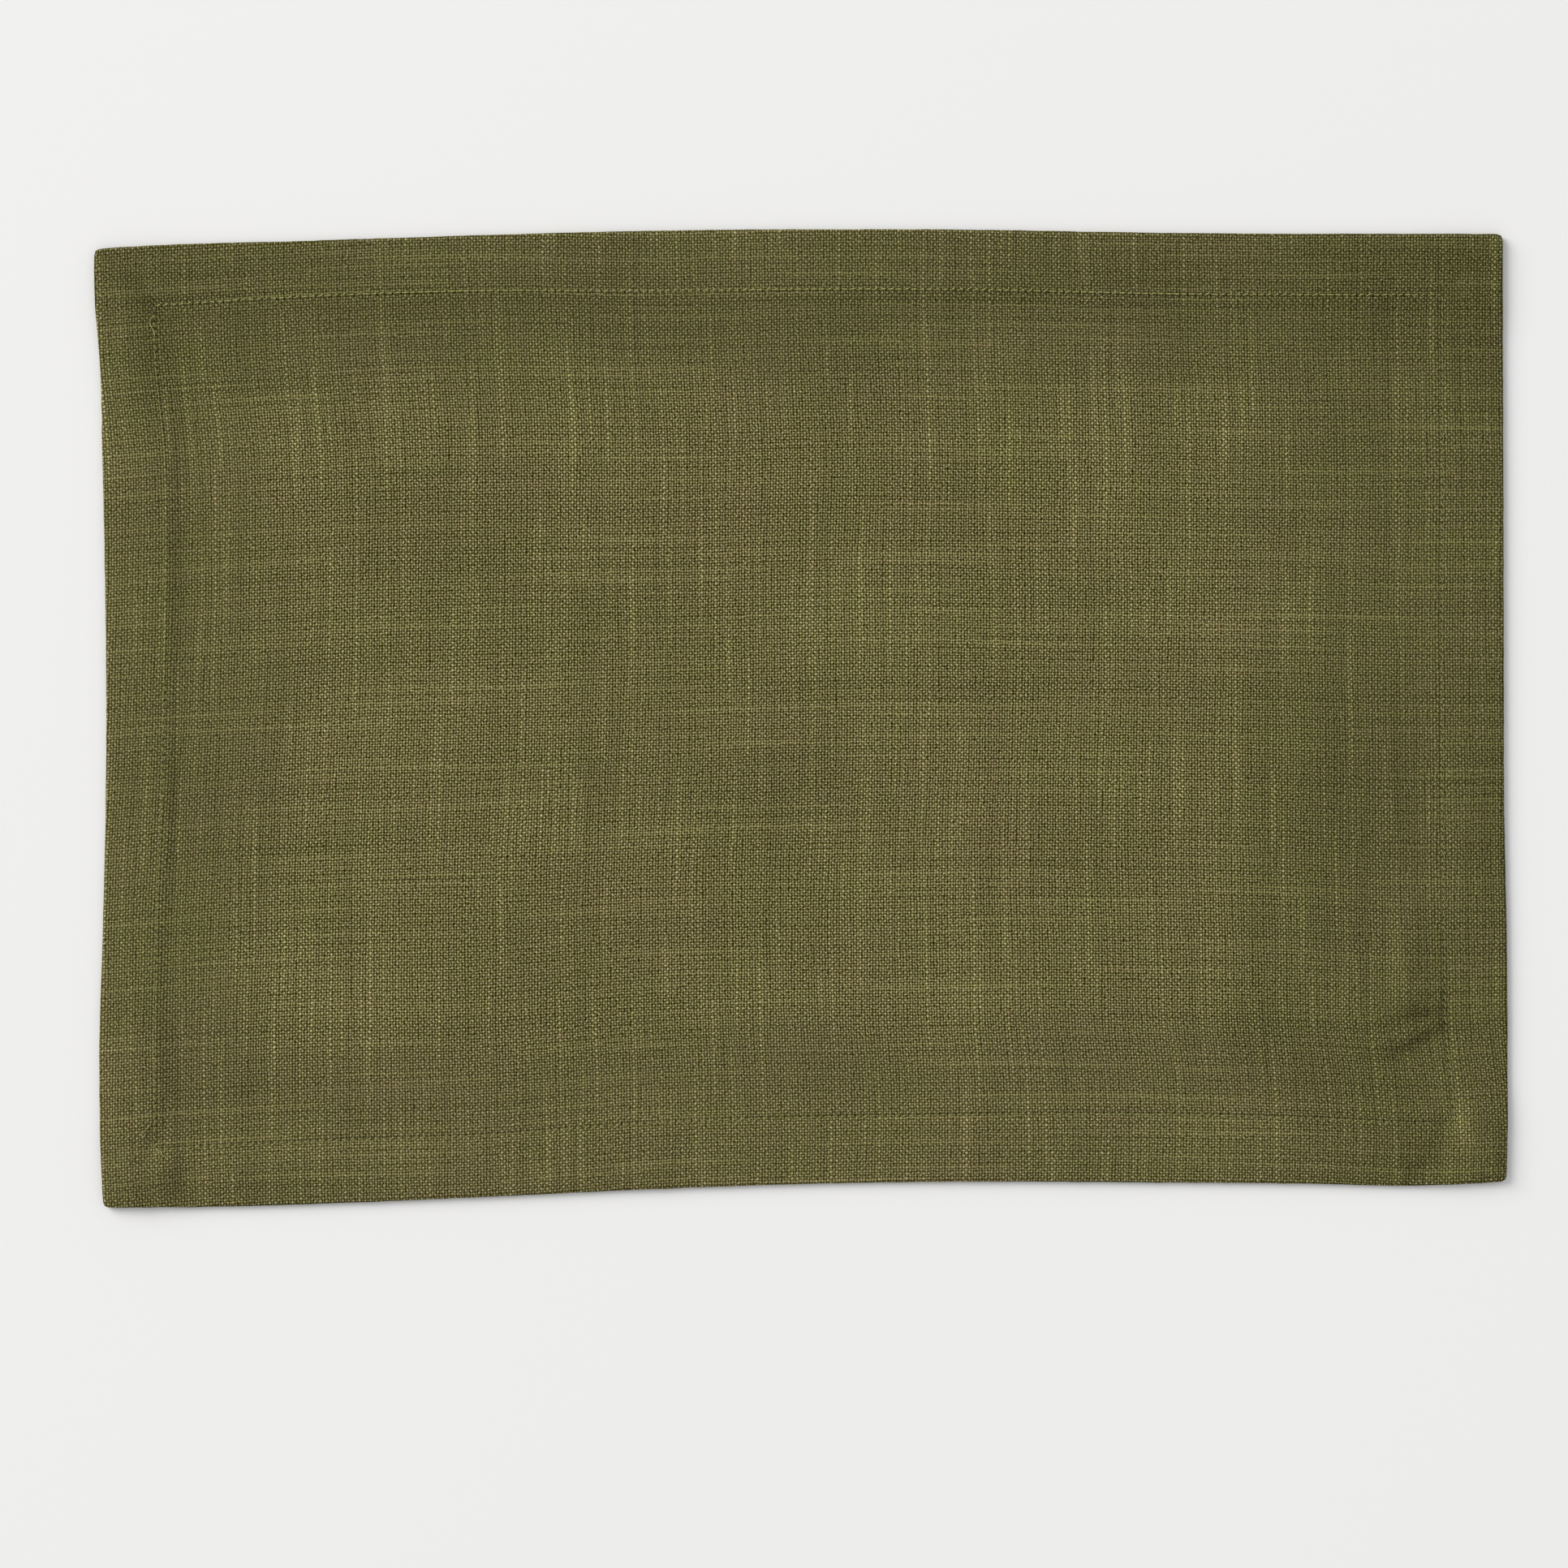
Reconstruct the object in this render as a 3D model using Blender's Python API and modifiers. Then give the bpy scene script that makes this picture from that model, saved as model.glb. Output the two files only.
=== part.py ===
"""A hemmed linen placemat lying flat on a table.

The mat is one piece of plain-woven cloth. Its four edges are turned under and
sewn down, so the cloth runs over the hem, round the outer fold and back below
as a flap that lies on the table. The corners are mitred. The sewing itself,
the yarns and the loose thread ends are surface work and aren't modelled here.

The nominal plan is a rectangle. Every point is first placed in that plan, and
then moved to the real one, whose edges bow in and out by a few millimetres.
Units are metres, +Z is up, +X runs along the mat and +Y towards its far edge.
"""

import math
from collections import namedtuple

import bmesh
import bpy
import numpy as np

MM = 0.001

# Driving dimensions
MAT_LENGTH = 448 * MM
MAT_WIDTH = 306 * MM
HEM_WIDTH = 20 * MM
CLOTH_THICKNESS = 1.0 * MM
LAYER_GAP = 0.3 * MM
CORNER_RADIUS = 3 * MM

# The hem's section. The rings are insets from the mat's edge.
FLAP_PAST_STITCHES = 2 * MM
FACE_RINGS = (HEM_WIDTH, 16 * MM, 6 * MM)
FLAP_RINGS = (8 * MM, HEM_WIDTH + FLAP_PAST_STITCHES)
FOLD_STEPS = 4
HEM_CROWN = 0.25 * MM
STITCH_TROUGH = 0.35 * MM
STITCH_TROUGH_REACH = 1.6 * MM

# The field, inside the hem
FIELD_BORDER = 4 * MM
FIELD_CLEARANCE = 0.05 * MM
FIELD_RAMP = 17 * MM
CELL = 12 * MM
BORDER_STEPS = (0, 2.4 * MM, 7 * MM)

# How far the middle of the field stands off the table, and where the rise
# towards it starts and ends on each side, as distances from the mat's centre
DOME_HEIGHT = 1.1 * MM
DOME_LEFT = (-182 * MM, -118 * MM)
DOME_RIGHT = (194 * MM, 128 * MM)
DOME_NEAR = (-121 * MM, -94 * MM)
DOME_FAR = (112 * MM, 78 * MM)

# The extra cloth folded inside each mitred corner
CORNER_BULK = 0.6 * MM
CORNER_BULK_REACH = 17 * MM

HALF_LENGTH = MAT_LENGTH / 2
HALF_WIDTH = MAT_WIDTH / 2
FLAP_HEIGHT = CLOTH_THICKNESS / 2
HEM_HEIGHT = FLAP_HEIGHT + CLOTH_THICKNESS + LAYER_GAP
HEM_LOWEST = HEM_HEIGHT - LAYER_GAP / 3
FIELD_HEIGHT = CLOTH_THICKNESS / 2 + FIELD_CLEARANCE
FIELD_INSET = HEM_WIDTH + FIELD_BORDER

# The real edges. Along is the place on the edge, bow is how far the edge
# stands out from the nominal rectangle, and hem is the width from the edge
# to the line of stitches. All are in millimetres.
EdgePoint = namedtuple("EdgePoint", "along bow hem")
FAR_EDGE = (
    EdgePoint(-224, -2.8, 19.6),
    EdgePoint(-205, -1.3, 19.5),
    EdgePoint(-153, 0.2, 17.9),
    EdgePoint(-101, 1.6, 17.8),
    EdgePoint(-49, 3.0, 19.2),
    EdgePoint(3, 3.5, 19.2),
    EdgePoint(55, 3.4, 19.2),
    EdgePoint(107, 2.5, 19.5),
    EdgePoint(224, 2.0, 19.6),
)
NEAR_EDGE = (
    EdgePoint(-224, 3.6, 17.2),
    EdgePoint(-184, 3.3, 19.6),
    EdgePoint(-153, 2.4, 20.2),
    EdgePoint(-101, 0.2, 19.8),
    EdgePoint(-49, -2.2, 21.2),
    EdgePoint(3, -4.0, 21.4),
    EdgePoint(55, -4.7, 21.6),
    EdgePoint(107, -4.4, 22.1),
    EdgePoint(159, -4.0, 21.0),
    EdgePoint(191, -3.4, 20.3),
    EdgePoint(224, -4.7, 19.6),
)
LEFT_EDGE = (
    EdgePoint(-153, -0.4, 16.6),
    EdgePoint(-134, 0.6, 16.8),
    EdgePoint(-103, 0.6, 18.1),
    EdgePoint(-61, -0.8, 17.4),
    EdgePoint(-20, -1.7, 18.1),
    EdgePoint(43, -1.5, 19.2),
    EdgePoint(85, -0.6, 20.0),
    EdgePoint(116, 0.2, 17.9),
    EdgePoint(136, 1.8, 18.9),
    EdgePoint(153, 2.1, 19.0),
)
RIGHT_EDGE = (
    EdgePoint(-153, 0.8, 17.0),
    EdgePoint(-134, 2.3, 17.2),
    EdgePoint(-122, 2.3, 17.8),
    EdgePoint(-103, 2.3, 19.9),
    EdgePoint(-82, 2.2, 20.1),
    EdgePoint(-30, 1.2, 19.9),
    EdgePoint(20, 1.1, 19.9),
    EdgePoint(90, 0.9, 19.6),
    EdgePoint(153, 0.7, 19.4),
)

# Soft ridges and troughs. Each is centred at x, y, runs along its heading
# (degrees from +X), fades out over its half length and half width, and
# stands height above the cloth round it. Lengths are in millimetres.
Fold = namedtuple("Fold", "x y heading length width height")
FOLDS = (
    # the field's slow unevenness
    Fold(-161, -110, 19, 36, 9, -0.45),
    Fold(77, -113, 2, 95, 8, -0.40),
    Fold(-75, -112, 88, 30, 5.5, 0.45),
    Fold(-192, 51, 80, 14, 6, -0.35),
    Fold(-181, -42, 95, 14, 7, -0.35),
    Fold(-142, 110, 85, 15, 9, -0.30),
    Fold(-20, 112, 92, 14, 16, -0.30),
    Fold(160, -10, 90, 28, 7, 0.40),
    Fold(161, -66, 92, 14, 7, 0.40),
    Fold(-60, 60, 65, 50, 24, 0.35),
    Fold(60, -20, 110, 60, 26, -0.35),
    Fold(15, 45, 20, 60, 22, -0.25),
    # puckers in the hem
    Fold(-43, -137, 76, 12, 4.5, 0.60),
    Fold(-213, -21, 90, 8, 5, -0.30),
    Fold(-211, -122, 90, 24, 7, 0.50),
    Fold(-214, -91, 22, 8, 3, -0.30),
    Fold(52, -137, 96, 11, 8, 0.30),
    # the pinched cloth beside the near right corner
    Fold(190, -80, 90, 15, 3.0, 1.15),
    Fold(196, -91, 8, 9, 2.6, 0.95),
    Fold(201, -97, 12, 9, 2.8, -0.85),
    Fold(197, -103, 24, 10, 3.2, 0.55),
    # the corners
    Fold(-210, 137, -56, 7.5, 2.2, -0.85),
    Fold(-212, -147, 100, 9, 5, 0.60),
    Fold(211, -133, 90, 9, 3.6, 0.75),
    Fold(200, -139, 63, 10, 3.4, -0.45),
)

# Where the grid is made finer, so that it can carry the pinched cloth
PINCH_LOW = (176 * MM, -112 * MM)
PINCH_HIGH = (201 * MM, -62 * MM)
PINCH_CUTS = 2


def smooth_step(value, start, end):
    """0 at start and 1 at end, with a level tangent at both."""
    share = np.clip((value - start) / (end - start), 0, 1)
    return share * share * (3 - 2 * share)


def smooth_curve(points, column, place):
    """Value of one column of an edge table at a place along it, in metres."""
    along = np.array([point.along for point in points]) * MM
    value = np.array([getattr(point, column) for point in points]) * MM
    slope = np.gradient(value, along)
    place = np.clip(place, along[0], along[-1])
    left = min(np.searchsorted(along, place, side="right"), len(along) - 1) - 1
    span = along[left + 1] - along[left]
    t = (place - along[left]) / span
    return (
        (1 + 2 * t) * (1 - t) ** 2 * value[left]
        + t * (1 - t) ** 2 * span * slope[left]
        + t * t * (3 - 2 * t) * value[left + 1]
        + t * t * (t - 1) * span * slope[left + 1]
    )


def shift_across(place, low_edge, high_edge, across, half):
    """How far a point moves across the mat, from the two edges it lies between.

    The edge itself moves by its bow, and the line of stitches also by what
    the hem there is wider or narrower than the nominal one.
    """
    knots = (-half, HEM_WIDTH - half, half - HEM_WIDTH, half)
    low_bow = smooth_curve(low_edge, "bow", place)
    high_bow = smooth_curve(high_edge, "bow", place)
    low_hem = smooth_curve(low_edge, "hem", place) - HEM_WIDTH
    high_hem = smooth_curve(high_edge, "hem", place) - HEM_WIDTH
    shifts = (-low_bow, low_hem - low_bow, high_bow - high_hem, high_bow)
    return np.interp(across, knots, shifts)


def rounded_corner(x, y):
    """Moves a point of a square corner onto the corner's round."""
    past_x = abs(x) - (HALF_LENGTH - CORNER_RADIUS)
    past_y = abs(y) - (HALF_WIDTH - CORNER_RADIUS)
    if past_x <= 0 or past_y <= 0:
        return x, y
    share_x = past_x / CORNER_RADIUS
    share_y = past_y / CORNER_RADIUS
    round_x = past_x * math.sqrt(1 - share_y * share_y / 2)
    round_y = past_y * math.sqrt(1 - share_x * share_x / 2)
    x = math.copysign(HALF_LENGTH - CORNER_RADIUS + round_x, x)
    y = math.copysign(HALF_WIDTH - CORNER_RADIUS + round_y, y)
    return x, y


def real_plan(x, y):
    """Where a point of the nominal rectangle lies on the real mat."""
    x, y = rounded_corner(x, y)
    move_x = shift_across(y, LEFT_EDGE, RIGHT_EDGE, x, HALF_LENGTH)
    move_y = shift_across(x, NEAR_EDGE, FAR_EDGE, y, HALF_WIDTH)
    return x + move_x, y + move_y


def fold_heights(x, y):
    """The sum of all the soft ridges and troughs at a point."""
    total = 0.0
    for fold in FOLDS:
        turn = math.radians(fold.heading)
        away_x = x / MM - fold.x
        away_y = y / MM - fold.y
        along = away_x * math.cos(turn) + away_y * math.sin(turn)
        across = away_y * math.cos(turn) - away_x * math.sin(turn)
        spread = (along / fold.length) ** 2 + (across / fold.width) ** 2
        total += fold.height * math.exp(-spread)
    return total * MM


def face_height(x, y):
    """Height above the table of the middle of the cloth that faces up."""
    inset_x = HALF_LENGTH - abs(x)
    inset_y = HALF_WIDTH - abs(y)
    inset = min(inset_x, inset_y)
    ramp_end = FIELD_INSET + FIELD_RAMP
    inner = smooth_step(inset_x, FIELD_INSET, ramp_end) * smooth_step(inset_y, FIELD_INSET, ramp_end)
    height = HEM_HEIGHT + (FIELD_HEIGHT - HEM_HEIGHT) * inner
    height += DOME_HEIGHT * (
        smooth_step(x, *DOME_LEFT)
        * smooth_step(x, *DOME_RIGHT)
        * smooth_step(y, *DOME_NEAR)
        * smooth_step(y, *DOME_FAR)
    )
    if inset < HEM_WIDTH:
        height += HEM_CROWN * math.sin(math.pi * inset / HEM_WIDTH)
        corner = smooth_step(max(inset_x, inset_y), HEM_WIDTH + CORNER_BULK_REACH, HEM_WIDTH)
        height += CORNER_BULK * corner * smooth_step(inset, HEM_WIDTH, HEM_WIDTH / 2)
    height -= STITCH_TROUGH * math.exp(-(((inset - HEM_WIDTH) / STITCH_TROUGH_REACH) ** 2))
    height += fold_heights(x, y)
    over_flap = 1 - smooth_step(inset, FIELD_INSET, FIELD_INSET + FIELD_RAMP / 2)
    lowest = FIELD_HEIGHT + (HEM_LOWEST - FIELD_HEIGHT) * over_flap
    return max(height, lowest)


def grid_lines(half):
    """Places of the field's grid lines across one direction, closer at its ends."""
    low = [step - half for step in BORDER_STEPS]
    count = round(-2 * low[-1] / CELL)
    middle = np.linspace(low[-1], -low[-1], count + 1)[1:-1]
    return low + list(middle) + [-place for place in reversed(low)]


def hem_section():
    """Rings from the field's rim outwards, round the fold and back below.

    Each row is the ring's inset from the edge, and its lift: 1 on the cloth
    that faces up and 0 on the flap.
    """
    fold_radius = (HEM_HEIGHT - FLAP_HEIGHT) / 2
    fold_centre = CLOTH_THICKNESS / 2 + fold_radius
    rings = [(inset, 1) for inset in FACE_RINGS]
    for step in range(FOLD_STEPS + 1):
        turn = math.pi * step / FOLD_STEPS
        rings.append((fold_centre - fold_radius * math.sin(turn), (1 + math.cos(turn)) / 2))
    rings += [(inset, 0) for inset in FLAP_RINGS]
    return rings


def add_field(bm):
    """The cloth inside the hem, flat, on grid lines that are closer at its ends."""
    columns = grid_lines(HALF_LENGTH - FIELD_INSET)
    rows = grid_lines(HALF_WIDTH - FIELD_INSET)
    across, along = len(columns) - 1, len(rows) - 1
    bmesh.ops.create_grid(bm, x_segments=across, y_segments=along, size=1)
    for vert in bm.verts:
        vert.co.x = columns[round((vert.co.x + 1) / 2 * across)]
        vert.co.y = rows[round((vert.co.y + 1) / 2 * along)]


def refine_pinch(bm):
    """Finer cells where the cloth is pinched."""
    close = []
    for edge in bm.edges:
        centre = (edge.verts[0].co + edge.verts[1].co) / 2
        inside_x = PINCH_LOW[0] < centre.x < PINCH_HIGH[0]
        inside_y = PINCH_LOW[1] < centre.y < PINCH_HIGH[1]
        if inside_x and inside_y:
            close.append(edge)
    bmesh.ops.subdivide_edges(bm, edges=close, cuts=PINCH_CUTS, use_grid_fill=True)


def add_hem(bm, lift_layer):
    """Extrudes the rim ring by ring, so that each corner comes out mitred."""
    inset = FIELD_INSET
    for next_inset, lift in hem_section():
        rim = [edge for edge in bm.edges if edge.is_boundary]
        made = bmesh.ops.extrude_edge_only(bm, edges=rim)["geom"]
        ratio_x = (HALF_LENGTH - next_inset) / (HALF_LENGTH - inset)
        ratio_y = (HALF_WIDTH - next_inset) / (HALF_WIDTH - inset)
        for vert in made:
            if isinstance(vert, bmesh.types.BMVert):
                vert.co.x *= ratio_x
                vert.co.y *= ratio_y
                vert[lift_layer] = lift
        inset = next_inset


def shape_cloth(bm, lift_layer):
    """Gives every point its height and its place on the real outline."""
    for vert in bm.verts:
        x, y = vert.co.x, vert.co.y
        top = face_height(x, y)
        vert.co.z = FLAP_HEIGHT + (top - FLAP_HEIGHT) * vert[lift_layer]
        vert.co.x, vert.co.y = real_plan(x, y)


def centre_plan(bm):
    """Moves the mat so that the middle of its box is at the origin."""
    for axis in (0, 1):
        places = [vert.co[axis] for vert in bm.verts]
        middle = (min(places) + max(places)) / 2
        for vert in bm.verts:
            vert.co[axis] -= middle


def cloth_mesh():
    """The cloth's middle surface, open along the inner edge of the flap."""
    bm = bmesh.new()
    lift_layer = bm.verts.layers.float.new("lift")
    add_field(bm)
    refine_pinch(bm)
    for vert in bm.verts:
        vert[lift_layer] = 1
    add_hem(bm, lift_layer)
    shape_cloth(bm, lift_layer)
    centre_plan(bm)
    bmesh.ops.recalc_face_normals(bm, faces=bm.faces)
    mesh = bpy.data.meshes.new("placemat_cloth")
    bm.to_mesh(mesh)
    bm.free()
    return mesh


def linen_material():
    material = bpy.data.materials.new("olive_linen")
    material.use_nodes = True
    shader = material.node_tree.nodes["Principled BSDF"]
    shader.inputs["Base Color"].default_value = (0.160, 0.143, 0.064, 1)
    shader.inputs["Roughness"].default_value = 0.9
    shader.inputs["Metallic"].default_value = 0.0
    return material


def add_placemat():
    collection = bpy.data.collections.new("placemat")
    bpy.context.scene.collection.children.link(collection)
    mesh = cloth_mesh()
    mesh.materials.append(linen_material())
    mesh.shade_smooth()
    mat = bpy.data.objects.new("placemat_cloth", mesh)
    collection.objects.link(mat)
    wall = mat.modifiers.new("cloth thickness", "SOLIDIFY")
    wall.thickness = CLOTH_THICKNESS
    wall.offset = 0
    wall.use_even_offset = True


def clear_scene():
    for thing in list(bpy.data.objects):
        bpy.data.objects.remove(thing, do_unlink=True)


clear_scene()
add_placemat()
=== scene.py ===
# %% [markdown]
# # A hemmed linen placemat
#
# The object is one rectangle of slubby olive linen. Its four edges are turned
# under and sewn down, the corners are mitred, and it lies flat on a table. A
# flat thing is told by small matters: how the cloth swells and dips by a
# millimetre, how its edges bow, how the yarns cross, and where the thread
# pulls it in. Each of these gets a cell of its own below.
#
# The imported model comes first. It fixes the place and the size of everything.

# %% The frame
import math
import random
from collections import namedtuple

import bmesh
import bpy
import numpy as np
from mathutils import Matrix, Vector, noise
from mathutils.bvhtree import BVHTree


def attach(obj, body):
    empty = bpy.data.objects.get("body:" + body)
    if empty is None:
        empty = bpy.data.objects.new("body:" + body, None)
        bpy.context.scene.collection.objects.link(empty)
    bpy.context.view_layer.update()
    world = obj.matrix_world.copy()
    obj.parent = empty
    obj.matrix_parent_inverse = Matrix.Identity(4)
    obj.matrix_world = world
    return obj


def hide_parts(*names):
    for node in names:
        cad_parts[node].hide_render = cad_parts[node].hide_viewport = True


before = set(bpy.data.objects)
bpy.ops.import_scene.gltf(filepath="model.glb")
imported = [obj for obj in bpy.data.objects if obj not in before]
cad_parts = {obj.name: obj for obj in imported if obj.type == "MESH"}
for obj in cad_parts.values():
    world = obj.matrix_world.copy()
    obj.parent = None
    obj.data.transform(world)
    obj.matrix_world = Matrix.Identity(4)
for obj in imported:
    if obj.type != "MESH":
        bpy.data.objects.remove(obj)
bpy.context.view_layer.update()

MM = 0.001

# %% [markdown]
# ## The plan
#
# Real cloth is never a true rectangle. A mat is cut straight, but the sewing
# draws it in and washing skews it, so each edge bows by a few millimetres and
# the hem is wider in one place than in another. It could be drawn as one
# outline, but then nothing inside would follow it. So every point is placed
# in a nominal rectangle first, and then moved by what the edges on either
# side of it do. The yarns bend with the edges in the same way.

# %% Driving sizes and the four edges
MAT_LENGTH = 448 * MM
MAT_WIDTH = 306 * MM
HEM_WIDTH = 20 * MM
CORNER_RADIUS = 3 * MM
HALF_LENGTH = MAT_LENGTH / 2
HALF_WIDTH = MAT_WIDTH / 2

# Along is the place on the edge, bow is how far the edge stands out from the
# nominal rectangle, and hem is the width from the edge to the stitches, in mm.
EdgePoint = namedtuple("EdgePoint", "along bow hem")


def edge_points(*rows):
    return [EdgePoint(*row) for row in rows]


FAR_EDGE = edge_points(
    (-224, -2.8, 19.6), (-205, -1.7, 19.3), (-153, -0.1, 17.8),
    (-101, 1.6, 17.8), (-49, 3.0, 19.2), (3, 3.5, 19.2),
    (55, 3.4, 19.2), (107, 2.5, 19.5), (224, 2.0, 19.6),
)
NEAR_EDGE = edge_points(
    (-224, 3.6, 17.2), (-184, 3.3, 19.6), (-153, 2.4, 20.2),
    (-101, 0.2, 19.8), (-49, -2.2, 21.2), (3, -4.0, 21.4),
    (55, -4.7, 21.6), (107, -4.4, 22.1), (159, -4.0, 21.0),
    (191, -3.4, 20.3), (224, -4.7, 19.6),
)
LEFT_EDGE = edge_points(
    (-153, -1.0, 16.8), (-134, -0.1, 17.3), (-103, 0.4, 18.0),
    (-61, -0.8, 17.4), (-20, -1.7, 18.1), (43, -1.5, 19.2),
    (85, -0.6, 20.0), (116, 0.2, 17.9), (136, 1.8, 18.9),
    (153, 2.1, 19.0),
)
RIGHT_EDGE = edge_points(
    (-153, 1.9, 17.0), (-134, 2.3, 17.2), (-122, 2.3, 17.8),
    (-103, 2.3, 19.9), (-82, 2.2, 20.1), (-30, 1.2, 19.9),
    (20, 1.1, 19.9), (90, 0.9, 19.6), (153, 0.7, 19.4),
)
print("nominal mat:", MAT_LENGTH / MM, "by", MAT_WIDTH / MM, "mm")

# %% [markdown]
# NumPy works on all the points of a mesh at once, which is far quicker than
# a loop over forty thousand of them. These helpers take whole arrays. The
# edge tables are read through a smooth cubic curve, so that no bend shows
# where two rows of a table meet.

# %% Curves along the edges
def smooth_step(value, start, end):
    """0 at start and 1 at end, with a level tangent at both."""
    share = np.clip((value - start) / (end - start), 0, 1)
    return share * share * (3 - 2 * share)


def edge_curve(points, column, place):
    """One column of an edge table, in metres, at places along the edge."""
    along = np.array([point.along for point in points]) * MM
    value = np.array([getattr(point, column) for point in points]) * MM
    slope = np.gradient(value, along)
    place = np.clip(place, along[0], along[-1])
    left = np.clip(np.searchsorted(along, place, side="right"), 1, len(along) - 1) - 1
    span = along[left + 1] - along[left]
    t = (place - along[left]) / span
    return (
        (1 + 2 * t) * (1 - t) ** 2 * value[left]
        + t * (1 - t) ** 2 * span * slope[left]
        + t * t * (3 - 2 * t) * value[left + 1]
        + t * t * (t - 1) * span * slope[left + 1]
    )


def blend_knots(across, knots, shifts):
    """Straight lines between shifts that are themselves arrays."""
    total = np.where(across < knots[0], shifts[0], shifts[-1])
    for k in range(len(knots) - 1):
        inside = (across >= knots[k]) & (across <= knots[k + 1])
        t = (across - knots[k]) / (knots[k + 1] - knots[k])
        total = np.where(inside, shifts[k] * (1 - t) + shifts[k + 1] * t, total)
    return total


def shift_across(place, low_edge, high_edge, across, half):
    """How far points move, from the two edges that they lie between."""
    low_bow = edge_curve(low_edge, "bow", place)
    high_bow = edge_curve(high_edge, "bow", place)
    low_hem = edge_curve(low_edge, "hem", place) - HEM_WIDTH
    high_hem = edge_curve(high_edge, "hem", place) - HEM_WIDTH
    knots = (-half, HEM_WIDTH - half, half - HEM_WIDTH, half)
    shifts = (-low_bow, low_hem - low_bow, high_bow - high_hem, high_bow)
    return blend_knots(across, knots, shifts)


bow_in_middle = edge_curve(FAR_EDGE, "bow", np.array([0.0]))[0]
print("the far edge's middle stands out by", round(bow_in_middle / MM, 2), "mm")

# %% From the nominal rectangle to the real plan
EDGE_SAMPLES = 400


def rounded_corner(x, y):
    """Moves the points of each square corner onto the corner's round."""
    past_x = np.abs(x) - (HALF_LENGTH - CORNER_RADIUS)
    past_y = np.abs(y) - (HALF_WIDTH - CORNER_RADIUS)
    corner = (past_x > 0) & (past_y > 0)
    share_x = np.clip(past_x / CORNER_RADIUS, 0, 1)
    share_y = np.clip(past_y / CORNER_RADIUS, 0, 1)
    round_x = np.sign(x) * (HALF_LENGTH - CORNER_RADIUS + past_x * np.sqrt(1 - share_y**2 / 2))
    round_y = np.sign(y) * (HALF_WIDTH - CORNER_RADIUS + past_y * np.sqrt(1 - share_x**2 / 2))
    return np.where(corner, round_x, x), np.where(corner, round_y, y)


def real_plan(x, y):
    """Where points of the nominal rectangle lie on the real mat."""
    x, y = rounded_corner(x, y)
    move_x = shift_across(y, LEFT_EDGE, RIGHT_EDGE, x, HALF_LENGTH)
    move_y = shift_across(x, NEAR_EDGE, FAR_EDGE, y, HALF_WIDTH)
    return x + move_x, y + move_y


def plan_centre():
    """The middle of the real outline's box, which the frame has at its origin."""
    side_x = np.linspace(-HALF_LENGTH, HALF_LENGTH, EDGE_SAMPLES)
    side_y = np.linspace(-HALF_WIDTH, HALF_WIDTH, EDGE_SAMPLES)
    left, _ = real_plan(np.full_like(side_y, -HALF_LENGTH), side_y)
    right, _ = real_plan(np.full_like(side_y, HALF_LENGTH), side_y)
    _, near = real_plan(side_x, np.full_like(side_x, -HALF_WIDTH))
    _, far = real_plan(side_x, np.full_like(side_x, HALF_WIDTH))
    return (left.min() + right.max()) / 2, (near.min() + far.max()) / 2


CENTRE_X, CENTRE_Y = plan_centre()
print("plan's centre is off by", round(CENTRE_X / MM, 2), round(CENTRE_Y / MM, 2), "mm")

# %% [markdown]
# ## The lie of the cloth
#
# Seen from above under soft light, height shows only as a slow change of
# tone. The hem is three layers thick and stands up. Just inside it the cloth
# drops to the table, the middle floats a little, and here and there a ridge
# or a trough was pinched in by the sewing. A cloth simulation would give
# folds of its own choosing. These have to be where the real ones are, so
# they are soft bumps from a short table, each with a place, a direction and
# a height.

# %% Levels, from the table up
CLOTH_THICKNESS = 0.8 * MM
HEM_THICKNESS = 2.3 * MM
FLAP_PAST_STITCHES = 2 * MM
HEM_CROWN = 0.25 * MM
STITCH_DROP = 0.35 * MM
STITCH_DROP_REACH = 1.9 * MM
FLAP_TROUGH = 0.22 * MM
LAYER_CLEARANCE = 0.05 * MM
STEP_START = 20.9 * MM
STEP_END = 26.0 * MM
SLOPE_END = 35.0 * MM
STEP_SHARE = 0.68
DOME_HEIGHT = 1.1 * MM
DOME_LEFT = (-182 * MM, -118 * MM)
DOME_RIGHT = (194 * MM, 128 * MM)
DOME_NEAR = (-121 * MM, -94 * MM)
DOME_FAR = (112 * MM, 78 * MM)
CORNER_BULK = 0.6 * MM
CORNER_BULK_REACH = 17 * MM
RIPPLE_HEIGHT = 0.35 * MM
RIPPLE_LENGTH = 26 * MM
SEAM_PUCKER_HEIGHT = 0.22 * MM
SEAM_PUCKER_LENGTH = 7 * MM
SEAM_PUCKER_REACH = 9 * MM

FIELD_INSET = HEM_WIDTH + 4 * MM
FLAP_END = HEM_WIDTH + FLAP_PAST_STITCHES
OFF_FLAP = (FLAP_END + 0.3 * MM, FLAP_END + 3.5 * MM)
FLAP_HEIGHT = CLOTH_THICKNESS / 2
HEM_HEIGHT = HEM_THICKNESS - CLOTH_THICKNESS / 2
HEM_LOWEST = FLAP_HEIGHT + CLOTH_THICKNESS + LAYER_CLEARANCE
FIELD_HEIGHT = CLOTH_THICKNESS / 2 + LAYER_CLEARANCE
print("middle of the hem's top layer:", round(HEM_HEIGHT / MM, 2), "mm up")

# %% Folds and puckers
# Centred at x, y, along its heading in degrees from +X, fading out over its
# half length and half width, and the amount at its middle, all in mm.
Patch = namedtuple("Patch", "x y heading length width amount")


def soft_patches(*rows):
    return [Patch(*row) for row in rows]


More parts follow.
